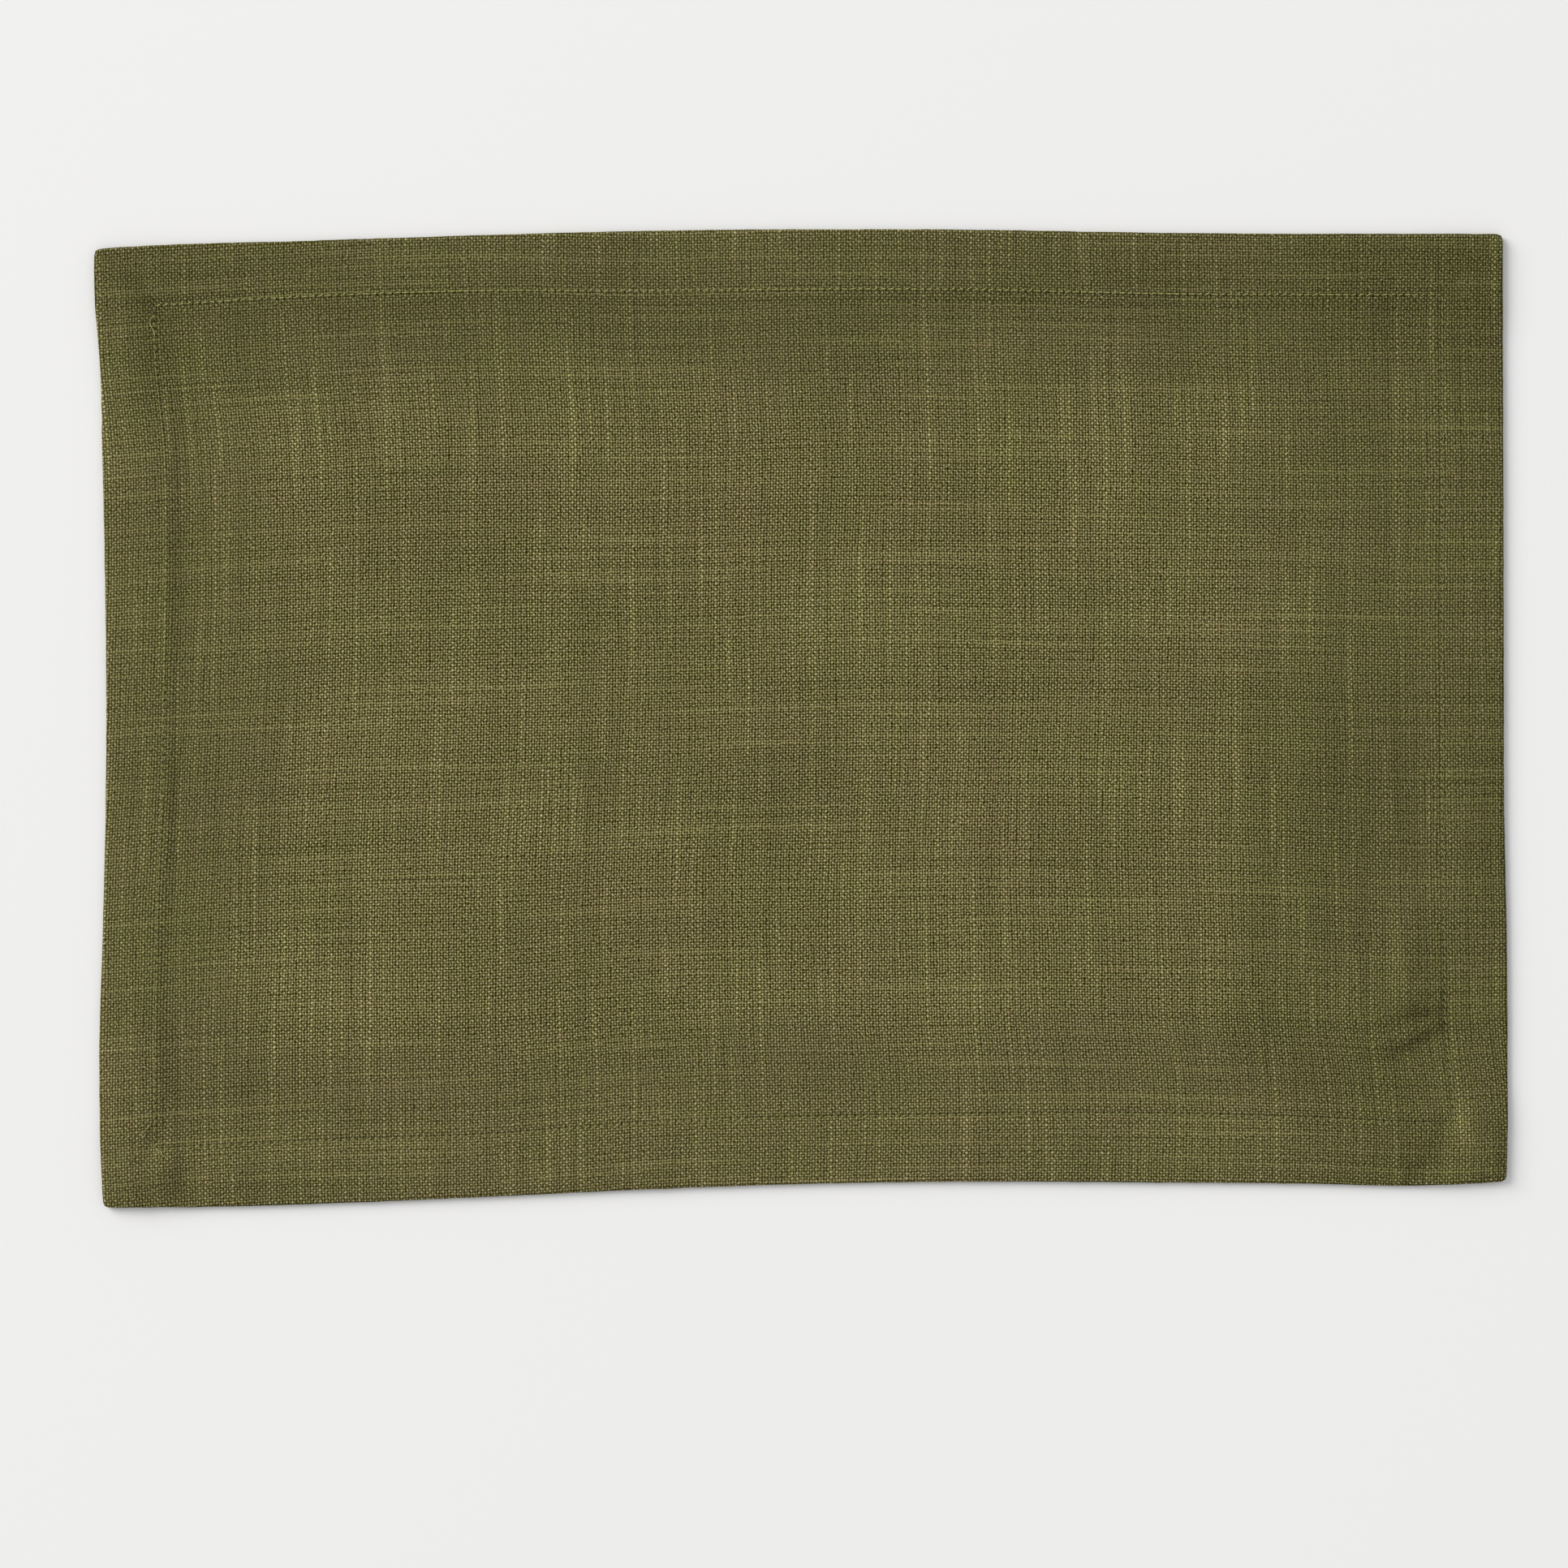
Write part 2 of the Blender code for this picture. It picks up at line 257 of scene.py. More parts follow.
FOLDS = soft_patches(
    # the field's slow unevenness
    (-161, -110, 19, 36, 9, -0.45), (77, -113, 2, 95, 8, -0.40),
    (-75, -112, 88, 30, 5.5, 0.45), (-192, 51, 80, 14, 6, -0.35),
    (-181, -42, 95, 14, 7, -0.35), (-142, 110, 85, 15, 9, -0.30),
    (-20, 112, 92, 14, 16, -0.30), (160, -10, 90, 28, 7, 0.40),
    (161, -66, 92, 14, 7, 0.40), (-60, 60, 65, 50, 24, 0.35),
    (60, -20, 110, 60, 26, -0.35), (15, 45, 20, 60, 22, -0.25),
    # puckers in the hem
    (-43, -137, 76, 12, 4.5, 0.60), (-213, -21, 90, 8, 5, -0.30),
    (-214, -122, 90, 24, 6, 0.45), (-214, -91, 22, 8, 3, -0.30),
    (52, -137, 96, 11, 8, 0.30),
    # the pinched cloth beside the near right corner
    (190, -80, 90, 15, 3.0, 1.15), (196, -91, 8, 9, 2.6, 0.95),
    (201, -97, 12, 9, 2.8, -0.85), (197, -103, 24, 10, 3.2, 0.55),
    # the corners
    (-209, 134.5, -58, 7.5, 2.2, -0.85), (-212, -147, 100, 9, 5, 0.60),
    (211, -133, 90, 9, 3.6, 0.75), (200, -139, 63, 10, 3.4, -0.45),
)

print("folds and puckers:", len(FOLDS))

# %% The height at any point
# Each kind of unevenness is read from its own slice of the same noise.
RIPPLE_SLICE = 3.7
PUCKER_SLICE = 8.1
EDGE_SLICE = 5.3


def sum_patches(patches, x, y):
    """The amounts of all the soft patches of a table, at points."""
    total = np.zeros_like(x)
    for patch in patches:
        turn = math.radians(patch.heading)
        away_x = x / MM - patch.x
        away_y = y / MM - patch.y
        along = away_x * math.cos(turn) + away_y * math.sin(turn)
        across = away_y * math.cos(turn) - away_x * math.sin(turn)
        total += patch.amount * np.exp(-((along / patch.length) ** 2) - (across / patch.width) ** 2)
    return total


def noise_at(x, y, length, depth):
    """Smooth noise from -1 to 1 whose lumps are about length across."""
    return np.array([noise.noise(Vector((a, b, depth))) for a, b in zip(x / length, y / length)])


def stepped_down(inset):
    """0 on the hem and 1 on the field: a short steep step, then a long slope."""
    step = smooth_step(inset, STEP_START, STEP_END)
    slope = smooth_step(inset, STEP_START, SLOPE_END)
    return step * STEP_SHARE + slope * (1 - STEP_SHARE)


def near_stitches(inset):
    """1 at the stitches and inside them, fading out over the hem."""
    return np.exp(-((np.clip(HEM_WIDTH - inset, 0, None) / STITCH_DROP_REACH) ** 2))


def face_height(x, y):
    """Height above the table of the middle of the cloth that faces up."""
    inset_x = HALF_LENGTH - np.abs(x)
    inset_y = HALF_WIDTH - np.abs(y)
    inset = np.minimum(inset_x, inset_y)
    inner = stepped_down(inset_x) * stepped_down(inset_y)
    hem_level = HEM_HEIGHT - STITCH_DROP * near_stitches(inset)
    height = hem_level + (FIELD_HEIGHT - hem_level) * inner
    dome = smooth_step(x, *DOME_LEFT) * smooth_step(x, *DOME_RIGHT)
    height += DOME_HEIGHT * dome * smooth_step(y, *DOME_NEAR) * smooth_step(y, *DOME_FAR)
    on_hem = inset < HEM_WIDTH
    height += np.where(on_hem, HEM_CROWN * np.sin(math.pi * inset / HEM_WIDTH), 0)
    corner = smooth_step(np.maximum(inset_x, inset_y), HEM_WIDTH + CORNER_BULK_REACH, HEM_WIDTH)
    height += CORNER_BULK * corner * smooth_step(inset, HEM_WIDTH, HEM_WIDTH / 2)
    height += sum_patches(FOLDS, x, y) * MM
    height += RIPPLE_HEIGHT * inner * noise_at(x, y, RIPPLE_LENGTH, RIPPLE_SLICE)
    seam = np.exp(-(((inset - HEM_WIDTH) / SEAM_PUCKER_REACH) ** 2))
    height += SEAM_PUCKER_HEIGHT * seam * noise_at(x, y, SEAM_PUCKER_LENGTH, PUCKER_SLICE)
    over_flap = 1 - smooth_step(inset, *OFF_FLAP)
    lowest = FIELD_HEIGHT + (HEM_LOWEST - FIELD_HEIGHT) * over_flap
    return np.maximum(height, lowest)


probe = face_height(np.array([0.0, 0.0]), np.array([0.0, HEM_WIDTH / 2 - HALF_WIDTH]))
print("middle of the mat and of its near hem stand at", np.round(probe / MM, 2), "mm")

# %% [markdown]
# Soft light shows some of the cloth's relief better than a mesh of this
# fineness can: the sharp side of a crease, or the line where a yarn turns
# from the window. Dyed linen also has slow bands of its own. Both could be
# painted on an image. A second table of the same soft patches paints them
# into the cloth's colour instead, and stays readable: painted shade and
# painted highlight for the relief, and the dye's own bands. Its places are
# those on the real mat, and the amount is how much darker or, below 0,
# lighter the cloth looks.

# %% Painted light and shade, and the dye's bands
PAINTED_LIGHT_AND_DYE_BANDS = soft_patches(
    # painted shade and highlight of creases and bulges
    (-207.6, 131.4, -68, 4.6, 2.3, 0.36), (-216, 142.5, -48, 9, 2.4, 0.12),
    (-219, 118, 88, 24, 4.5, -0.13), (-209, 108, 90, 22, 4.5, 0.06),
    (-199, 78, 90, 14, 2.6, 0.12), (192.8, -74, 88, 13, 1.6, -0.24),
    (189.8, -79, 87, 15, 2.6, -0.15), (196.4, -80, 87, 12, 1.6, 0.10),
    (202, -78, 90, 14, 4.5, 0.13), (198.5, -94.8, 7, 9, 2.1, 0.42),
    (200, -92.5, 6, 7, 2.0, 0.08), (205.4, -91, 90, 5, 1.5, 0.20),
    (189, -97.4, 14, 6, 1.4, 0.14), (205, -97.6, 60, 3, 1.7, 0.24),
    (198.4, -102.2, 30, 8, 1.7, 0.44), (191, -105.6, 20, 7, 2.8, 0.22),
    (182, -107.8, 6, 6, 2.0, 0.09), (211, -131, -72, 7.5, 3.6, -0.20),
    (213, -129, 90, 15, 6, -0.12), (206, -122, 90, 26, 20, -0.07),
    (217, -115, 90, 26, 4.5, -0.06), (203.6, -130, 84, 8, 2.0, 0.12),
    (201.4, -138, 62, 5, 2.4, 0.16), (196.6, -144.5, 52, 5.5, 3.2, 0.26),
    (210, -145, 0, 9, 5, -0.12), (202, -148.5, 0, 22, 1.6, -0.12),
    (223.2, -139, 85, 10, 2.4, 0.28), (218.5, -146, 20, 6, 2.4, 0.18),
    (-200, -145.5, 84, 8, 3.0, 0.28), (-210, -150.5, 0, 10, 4.5, 0.16),
    (-206.3, -138.5, 80, 3, 1.6, -0.25), (-208.4, -131.8, 70, 2.6, 1.2, 0.28),
    (-190, -147, 90, 9, 5, -0.12), (-179, -118, 15, 10, 3, 0.10),
    # painted shade and highlight along the hem and its stitches
    (-201.2, 46, 90, 46, 1.5, 0.16), (-202.2, -40, 87.8, 36, 1.5, 0.18),
    (-204.2, -104, 90, 24, 1.4, 0.13), (-203.6, 46, 90, 46, 0.8, -0.30),
    (-204.9, -40, 87.8, 34, 0.8, -0.30), (-206.8, -98, 90, 30, 0.8, -0.26),
    (-201, -117, 90, 22, 3.6, 0.13), (-208, -120, 90, 18, 2.6, -0.14),
    (-220, -118, 90, 26, 4, -0.14), (-125, -135.6, 4, 80, 1.8, -0.08),
    (75, -128.4, 0, 110, 1.8, -0.08), (-80, -140, -2, 130, 9, -0.03),
    (100, -134, 0, 100, 8, -0.03), (-22, -130, 90, 7, 5, -0.08),
    # bands and clouds
    (-22, -60, 90, 80, 6, -0.07), (-18, 112, 0, 18, 12, -0.06),
    (-190, 75, 90, 24, 6, 0.07), (125, -40, 90, 30, 14, -0.05),
    (-148, -20, 90, 50, 4, -0.05), (-130, -25, 90, 45, 22, -0.06),
    (-22, 75, 90, 34, 7, -0.08), (58, 40, 0, 16, 8, -0.08),
    (104, -50, 90, 28, 7, -0.09), (-212, -20, 90, 10, 4, 0.10),
    (-212, -57, 90, 9, 4, 0.08), (3, 36, 90, 30, 5, 0.11),
    (-70, -22, 0, 36, 10, 0.10), (146, -100, 90, 36, 7, 0.15),
    (-55, 90, 0, 24, 16, 0.05), (20, -110, 0, 30, 8, 0.04),
)
print("light and dark places:", len(PAINTED_LIGHT_AND_DYE_BANDS))

# %% [markdown]
# ## The cloth
#
# A sheet of cloth can be a grid, but a grid has no hem. Here the grid is
# only the field. Its rim is then extruded ring by ring: out over the hem,
# round the fold and back below. Because each ring is the whole rim, scaled,
# the corners come out mitred with no extra work. Rings lie close together
# where the cloth bends fast, at the stitches and at the fold, and the grid's
# own lines are crowded at the corners and beside the pinched cloth.
#
# Two numbers are stored on each point for later. Lift says how far it stands
# between the flap and the face. Reach is how far it lies from the stitches,
# measured along the cloth, and tells the yarns where they are.

# %% The hem's rings
CELL = 2.25 * MM
FOLD_STEPS = 8
FACE_INSETS = (22.6, 21.4, 20.7, 20, 19.3, 18.6, 17.4, 15.6, 13.4, 11, 8.6, 6.4, 4.4, 2.6)
FLAP_INSETS = (2.6, 5, 8, 11, 14, 16.5, 18.4, 19.3, 20, 20.7)
Ring = namedtuple("Ring", "inset lift reach")


def hem_rings():
    """Rings from the field's rim out over the hem, round the fold and back."""
    radius = (HEM_HEIGHT - FLAP_HEIGHT) / 2
    centre = CLOTH_THICKNESS / 2 + radius
    rings = [Ring(inset * MM, 1, HEM_WIDTH - inset * MM) for inset in FACE_INSETS]
    for step in range(FOLD_STEPS + 1):
        turn = math.pi * step / FOLD_STEPS
        inset = centre - radius * math.sin(turn)
        rings.append(Ring(inset, (1 + math.cos(turn)) / 2, HEM_WIDTH - centre + radius * turn))
    turned = rings[-1]
    for inset in (*FLAP_INSETS, FLAP_END / MM):
        rings.append(Ring(inset * MM, 0, turned.reach + inset * MM - turned.inset))
    return rings


HEM_RINGS = hem_rings()
print(len(HEM_RINGS), "rings; the turned cloth is", round(HEM_RINGS[-1].reach / MM, 1), "mm wide")

# %% The sheet, flat
CROWDED = 12 * MM
CROWDING = 0.55
PINCH_X = 196 * MM
PINCH_Y = -98 * MM


def finished_mesh(bm, name):
    """The bmesh as a mesh of its own, with every face outwards."""
    bmesh.ops.recalc_face_normals(bm, faces=bm.faces)
    mesh = bpy.data.meshes.new(name)
    bm.to_mesh(mesh)
    bm.free()
    return mesh


def crowd(share, half, pinch):
    """A place from -half to half, with the points closer together near both
    ends, where the corners need them, and near the pinched cloth."""
    place = share * half
    past = max(0, abs(place) - (half - CROWDED)) / CROWDED
    gain = CROWDING * CROWDED * past * (1 - past)
    place += math.copysign(gain, place)
    away = (place - pinch) / CROWDED
    return place - CROWDING * CROWDED * away * math.exp(-away * away) * (1 - past)


def flat_sheet():
    """The field as a grid, then the hem's rings, in the nominal rectangle."""
    bm = bmesh.new()
    lift_layer = bm.verts.layers.float.new("lift")
    reach_layer = bm.verts.layers.float.new("reach")
    half_x = HALF_LENGTH - FIELD_INSET
    half_y = HALF_WIDTH - FIELD_INSET
    bmesh.ops.create_grid(
        bm, x_segments=round(2 * half_x / CELL), y_segments=round(2 * half_y / CELL), size=1
    )
    for vert in bm.verts:
        vert.co = (crowd(vert.co.x, half_x, PINCH_X), crowd(vert.co.y, half_y, PINCH_Y), 0)
        vert[lift_layer] = 1
        vert[reach_layer] = HEM_WIDTH - FIELD_INSET
    inset = FIELD_INSET
    for ring in HEM_RINGS:
        rim = [edge for edge in bm.edges if edge.is_boundary]
        made = bmesh.ops.extrude_edge_only(bm, edges=rim)["geom"]
        new_verts = [item for item in made if isinstance(item, bmesh.types.BMVert)]
        ratio_x = (HALF_LENGTH - ring.inset) / (HALF_LENGTH - inset)
        ratio_y = (HALF_WIDTH - ring.inset) / (HALF_WIDTH - inset)
        bmesh.ops.scale(bm, vec=(ratio_x, ratio_y, 1), verts=new_verts)
        for vert in new_verts:
            vert[lift_layer] = ring.lift
            vert[reach_layer] = ring.reach
        inset = ring.inset
    return finished_mesh(bm, "placemat_linen")


sheet = flat_sheet()
print("flat sheet:", len(sheet.vertices), "points,", len(sheet.polygons), "faces")

# %% [markdown]
# The yarns run straight through the cloth before it is folded. So the UV map
# holds each point's place on the flat, unfolded cloth, in metres. On the
# flap the yarns that cross the fold come back on themselves, and those that
# run along it lie beneath their neighbours. A UV map belongs to face corners
# and not to points, which is what lets the two flaps of a mitred corner keep
# their own yarn directions along the line where they meet.

# %% Reading the mesh's points and corners
def point_values(mesh, name):
    values = np.empty(len(mesh.vertices))
    mesh.attributes[name].data.foreach_get("value", values)
    return values


def point_places(mesh):
    places = np.empty(len(mesh.vertices) * 3)
    mesh.vertices.foreach_get("co", places)
    return places.reshape(-1, 3)


def on_cloth(place, half, hem, reach):
    """A coordinate on the flat cloth, where reach is how far past the stitches."""
    return np.sign(place) * (half - HEM_WIDTH + reach * hem / HEM_WIDTH)


def hem_of(place, low_edge, high_edge, across):
    """The real hem width beside points, from whichever edge is nearer."""
    low = edge_curve(low_edge, "hem", place)
    high = edge_curve(high_edge, "hem", place)
    return np.where(across < 0, low, high)


def corner_sides(mesh):
    """The point of each face corner, and whether its face lies by a short edge."""
    x, y = point_places(mesh)[:, :2].T
    corners = np.empty(len(mesh.loops), np.int32)
    mesh.loops.foreach_get("vertex_index", corners)
    sizes = np.empty(len(mesh.polygons), np.int32)
    mesh.polygons.foreach_get("loop_total", sizes)
    owner = np.repeat(np.arange(len(sizes)), sizes)
    middle_x = np.abs(np.bincount(owner, x[corners]) / sizes)
    middle_y = np.abs(np.bincount(owner, y[corners]) / sizes)
    return corners, (HALF_LENGTH - middle_x < HALF_WIDTH - middle_y)[owner]


corner_points, by_short_edge = corner_sides(sheet)
print("face corners:", len(corner_points), "and by the short edges", by_short_edge.sum())

# %% Yarn and seam coordinates
STITCH_PITCH = 2.44 * MM
SEAM_HALF_X = HALF_LENGTH - HEM_WIDTH
SEAM_HALF_Y = HALF_WIDTH - HEM_WIDTH
STITCHES_X = round(2 * SEAM_HALF_X / STITCH_PITCH)
STITCHES_Y = round(2 * SEAM_HALF_Y / STITCH_PITCH)


def add_uv(mesh, name, u, v):
    mesh.uv_layers.new(name=name).uv.foreach_set("vector", np.column_stack([u, v]).ravel())


def map_cloth(mesh, corners, short_side):
    """Two UV maps: yarns, the place on the unfolded cloth in metres, and seam,
    the number of stitches along the edge and the metres in from it."""
    places = point_places(mesh)
    x, y = places[:, 0], places[:, 1]
    reach = point_values(mesh, "reach")
    inset_x = HALF_LENGTH - np.abs(x)
    inset_y = HALF_WIDTH - np.abs(y)
    hem_x = hem_of(y, LEFT_EDGE, RIGHT_EDGE, x)
    hem_y = hem_of(x, NEAR_EDGE, FAR_EDGE, y)
    plain_x = np.where(inset_x < HEM_WIDTH, on_cloth(x, HALF_LENGTH, hem_x, HEM_WIDTH - inset_x), x)
    plain_y = np.where(inset_y < HEM_WIDTH, on_cloth(y, HALF_WIDTH, hem_y, HEM_WIDTH - inset_y), y)
    past_x = on_cloth(x, HALF_LENGTH, hem_x, reach)
    past_y = on_cloth(y, HALF_WIDTH, hem_y, reach)
    in_hem = reach[corners] > 0
    u = np.where(in_hem & short_side, past_x[corners], plain_x[corners])
    v = np.where(in_hem & ~short_side, past_y[corners], plain_y[corners])
    add_uv(mesh, "yarns", u, v)
    along_x = (x + SEAM_HALF_X) / (2 * SEAM_HALF_X) * STITCHES_X
    along_y = (y + SEAM_HALF_Y) / (2 * SEAM_HALF_Y) * STITCHES_Y
    along = np.where(short_side, along_y[corners], along_x[corners])
    inset = np.where(short_side, inset_x[corners], inset_y[corners])
    add_uv(mesh, "seam", along, inset)
    return u, v


yarn_u, yarn_v = map_cloth(sheet, corner_points, by_short_edge)
print("the cloth, unfolded:", round(np.ptp(yarn_u) / MM), "by", round(np.ptp(yarn_v) / MM), "mm")
print("stitches along the edges:", STITCHES_X, "and", STITCHES_Y)

# %% [markdown]
# Now the flat sheet is given its heights and its real outline in one step.
# A fold in coarse linen is never a clean line, because each thick yarn makes
# a small bump where it turns, so the edge is roughened by a tenth of a
# millimetre. A Solidify modifier then gives the cloth its thickness. Even
# offset keeps that thickness the same round the tight fold. The tone of each
# point, which is painted shade and highlight along with the dye's bands, is
# stored beside it, for the material to read.

# %% The sheet, shaped
EDGE_BUMPS = 0.12 * MM
EDGE_BUMP_LENGTH = 4 * MM
EDGE_BUMP_REACH = 4 * MM


def add_object(name, mesh):
    thing = bpy.data.objects.new(name, mesh)
    bpy.context.scene.collection.objects.link(thing)
    return thing


def shape_sheet(mesh):
    """Gives the flat sheet its heights and outline, and notes each point's painted light and dye."""
    places = point_places(mesh)
    x, y = places[:, 0], places[:, 1]
    lift = point_values(mesh, "lift")
    top = face_height(x, y)
    from_seam = np.minimum(HALF_LENGTH - np.abs(x), HALF_WIDTH - np.abs(y)) - HEM_WIDTH
    flap = FLAP_HEIGHT + FLAP_TROUGH * np.exp(-((from_seam / STITCH_DROP_REACH) ** 2))
    z = flap + (top - flap) * lift
    rough = EDGE_BUMPS * noise_at(x, y, EDGE_BUMP_LENGTH, EDGE_SLICE)
    rough *= smooth_step(from_seam, EDGE_BUMP_REACH - HEM_WIDTH, -HEM_WIDTH)
    x, y = real_plan(x, y)
    x = x * (1 + rough / HALF_LENGTH) - CENTRE_X
    y = y * (1 + rough / HALF_WIDTH) - CENTRE_Y
    places = np.column_stack([x, y, z])
    mesh.vertices.foreach_set("co", places.ravel())
    mesh.update()
    # The tone stored on each point is painted shade and highlight, and the dye's bands.
    tones = mesh.attributes.new("tone", "FLOAT", "POINT")
    tones.data.foreach_set("value", sum_patches(PAINTED_LIGHT_AND_DYE_BANDS, x, y) * lift)


shape_sheet(sheet)
sheet.shade_smooth()
cloth = add_object("placemat_linen", sheet)
thickness = cloth.modifiers.new("cloth thickness", "SOLIDIFY")
thickness.thickness = CLOTH_THICKNESS
thickness.offset = 0
thickness.use_even_offset = True
crest = max(vert.co.z for vert in sheet.vertices) + CLOTH_THICKNESS / 2
print("cloth stands", round(crest / MM, 2), "mm high")

# %% [markdown]
# ## The weave
#
# In a plain weave every yarn goes over one crossing and under the next. At
# eleven yarns to the centimetre that makes 175,000 crossings, far too many
# to model, so the weave is worked out in the material from the yarn
# coordinates.
#
# The sums are long, so this small class lets them be written as formulas:
# each sign adds a Math node.

# %% Formulas as nodes
class Wire:
    """A value in a node tree. Arithmetic on it adds Math nodes."""

    def __init__(self, tree, socket):
        self.tree = tree
        self.socket = socket

    def math(self, operation, *others):
        node = self.tree.nodes.new("ShaderNodeMath")
        node.operation = operation
        for slot, value in zip(node.inputs, (self, *others)):
            plug(self.tree, value, slot)
        return Wire(self.tree, node.outputs[0])

    def __add__(self, other):
        return self.math("ADD", other)

    def __sub__(self, other):
        return self.math("SUBTRACT", other)

    def __mul__(self, other):
        return self.math("MULTIPLY", other)

    def __truediv__(self, other):
        return self.math("DIVIDE", other)

    def ramp(self, start, end):
        """0 at start and 1 at end, smoothly."""
        node = self.tree.nodes.new("ShaderNodeMapRange")
        node.interpolation_type = "SMOOTHSTEP"
        plug(self.tree, self, node.inputs["Value"])
        plug(self.tree, start, node.inputs["From Min"])
        plug(self.tree, end, node.inputs["From Max"])
        return Wire(self.tree, node.outputs["Result"])


def plug(tree, value, slot):
    """Links a wire to a socket, or sets a plain number on it."""
    if isinstance(value, Wire):
        tree.links.new(value.socket, slot)
    else:
        slot.default_value = value


def choose(mask, if_zero, if_one):
    """One wire where the mask is 0 and the other where it is 1."""
    return if_zero + (if_one - if_zero) * mask


print("a wire can be added to, subtracted from, multiplied, divided and ramped")

# %% Small building blocks
def coordinates(tree, socket):
    """The x and y of a vector socket as two wires."""
    split = tree.nodes.new("ShaderNodeSeparateXYZ")
    tree.links.new(socket, split.inputs["Vector"])
    return Wire(tree, split.outputs["X"]), Wire(tree, split.outputs["Y"])


def flat_texture(kind, x, y):
    """A 2D texture node of some kind, read at two wires."""
    tree = x.tree
    spot = tree.nodes.new("ShaderNodeCombineXYZ")
    plug(tree, x, spot.inputs["X"])
    plug(tree, y, spot.inputs["Y"])
    texture = tree.nodes.new(kind)
    texture.noise_dimensions = "2D"
    tree.links.new(spot.outputs["Vector"], texture.inputs["Vector"])
    return texture


def noise_of(x, y, detail=0):
    """Smooth noise at two wires, from 0 to 1 with most of it near a half."""
    texture = flat_texture("ShaderNodeTexNoise", x, y)
    texture.inputs["Scale"].default_value = 1
    texture.inputs["Detail"].default_value = detail
    return Wire(x.tree, texture.outputs["Fac"])


def chance(x, y):
    """An even random number from 0 to 1 for each pair of whole numbers."""
    return Wire(x.tree, flat_texture("ShaderNodeTexWhiteNoise", x, y).outputs["Value"])


def new_group(name, settings, results):
    """An empty node group: a vector and the settings go in, and the results come out."""
    group = bpy.data.node_groups.new(name, "ShaderNodeTree")
    group.interface.new_socket("Vector", in_out="INPUT", socket_type="NodeSocketVector")
    for label, value in settings.items():
        made = group.interface.new_socket(label, in_out="INPUT", socket_type="NodeSocketFloat")
        made.default_value = value
    for label in results:
        group.interface.new_socket(label, in_out="OUTPUT", socket_type="NodeSocketFloat")
    source = group.nodes.new("NodeGroupInput")
    sink = group.nodes.new("NodeGroupOutput")
    return group, source, sink


print("textures and coordinates are wires too, and go into the same formulas")

# %% [markdown]
# The weave group works like this. Divided by the pitch, the coordinates
# count yarns: the whole part is the yarn's number and the rest is the place
# across it. Where the two numbers add up to an even one, the upright yarn is
# on top. Each yarn is a round ridge that rises and falls along its length,
# and the surface is the higher of the two. Where neither yarn reaches, a
# small dark hole is left, which is what makes linen look like linen.
#
# A weave that repeats exactly looks printed. So the yarns are set a little
# closer here and wider there and none of them runs quite straight. Each has
# a thickness and a shade of its own, the fibres along it catch the light
# unevenly, and now and then there is a slub. Over a hand's breadth the whole
# cloth also gets a little paler, darker, greener or browner.

# %% Where the yarns lie
# How far the yarns stray, in yarns: each by itself, in bands, and slowly. The
# pairs are for the warp, which runs towards the far edge, and for the weft.
EACH_STRAYS = 0.3
BANDS_STRAY = (0.6, 0.5)
SLOW_STRAY = (1.5, 1.2)


def swing(*places, detail=0):
    """Smooth noise about 0. The factor on a coordinate is the number of lumps to
    one unit of it, and an added number only picks another part of the noise."""
    return noise_of(*places, detail=detail) - 0.5


def stray(x, y, wander):
    """The place counted in yarns, bent as real yarns lie."""
    move_x = swing(x * 0.9, y * 0.022) * EACH_STRAYS + swing(x * 0.14, y * 0.030) * BANDS_STRAY[0]
    move_y = swing(x * 0.022, y * 0.9) * EACH_STRAYS + swing(x * 0.016, y * 0.10) * BANDS_STRAY[1]
    move_x += swing(x * 0.01, y * 0.01) * SLOW_STRAY[0]
    move_y += swing(x * 0.01 + 50, y * 0.01) * SLOW_STRAY[1]
    return x + move_x * wander, y + move_y * wander


print("share of the pitch that a yarn strays over:", round(max(BANDS_STRAY) + EACH_STRAYS, 2))

# %% Which yarns meet at a point
WEFT_SWAYS_MORE = 1.3

# The place in yarns, the numbers of the two yarns, how far the place is from
# the middle of each, and over: 1 where the warp is on top and -1 elsewhere.
Crossing = namedtuple("Crossing", "across along warp weft in_warp in_weft over")


def crossing_at(x, y, given):
    across, along = stray(x, y, given["Wander"])
    warp = across.math("FLOOR")
    weft = along.math("FLOOR")
    warp_sway = swing(warp * 3.7, along * 0.9) * given["Wobble"]
    weft_sway = swing(across * 0.9, weft * 3.7) * given["Wobble"] * WEFT_SWAYS_MORE
    in_warp = across - warp - 0.5 + warp_sway
    in_weft = along - weft - 0.5 + weft_sway
    over = ((warp + weft) * 0.5).math("FRACT") * -4 + 1
    return Crossing(across, along, warp, weft, in_warp, in_weft, over)


print("known at every point:", ", ".join(Crossing._fields))

# %% Slubs
# Where in its noise a slub begins and is full, and how much lighter or darker
# each yarn, slow bands of yarns and slubs make the cloth.
Yarn = namedtuple("Yarn", "slub each bands slubs")
WARP = Yarn((0.69, 0.78), 0.30, 0.12, 0.20)
WEFT = Yarn((0.68, 0.77), 0.32, 0.12, 0.22)


def slubs_at(at, given):
    """How far each of the two yarns is into a slub, from 0 to 1."""
    warp_slub = noise_of(at.warp * 3.17 + 900, at.along * 0.014).ramp(*WARP.slub)
    weft_slub = noise_of(at.across * 0.010 + 600, at.weft * 3.17).ramp(*WEFT.slub)
    return warp_slub * given["Slubs"], weft_slub * given["Slubs"]


print("a slub begins where the noise is", WARP.slub[0], "in the warp and", WEFT.slub[0], "in the weft")

# %% Round yarns
FLOOR_OF_HOLES = -0.5
OUT_OF_SIGHT = 4
ROUNDNESS = 0.5
RISE = 0.5
TOP_OF_YARNS = ROUNDNESS + RISE
BODY_VARIES = 0.05
SLUB_SWELLS = 0.08


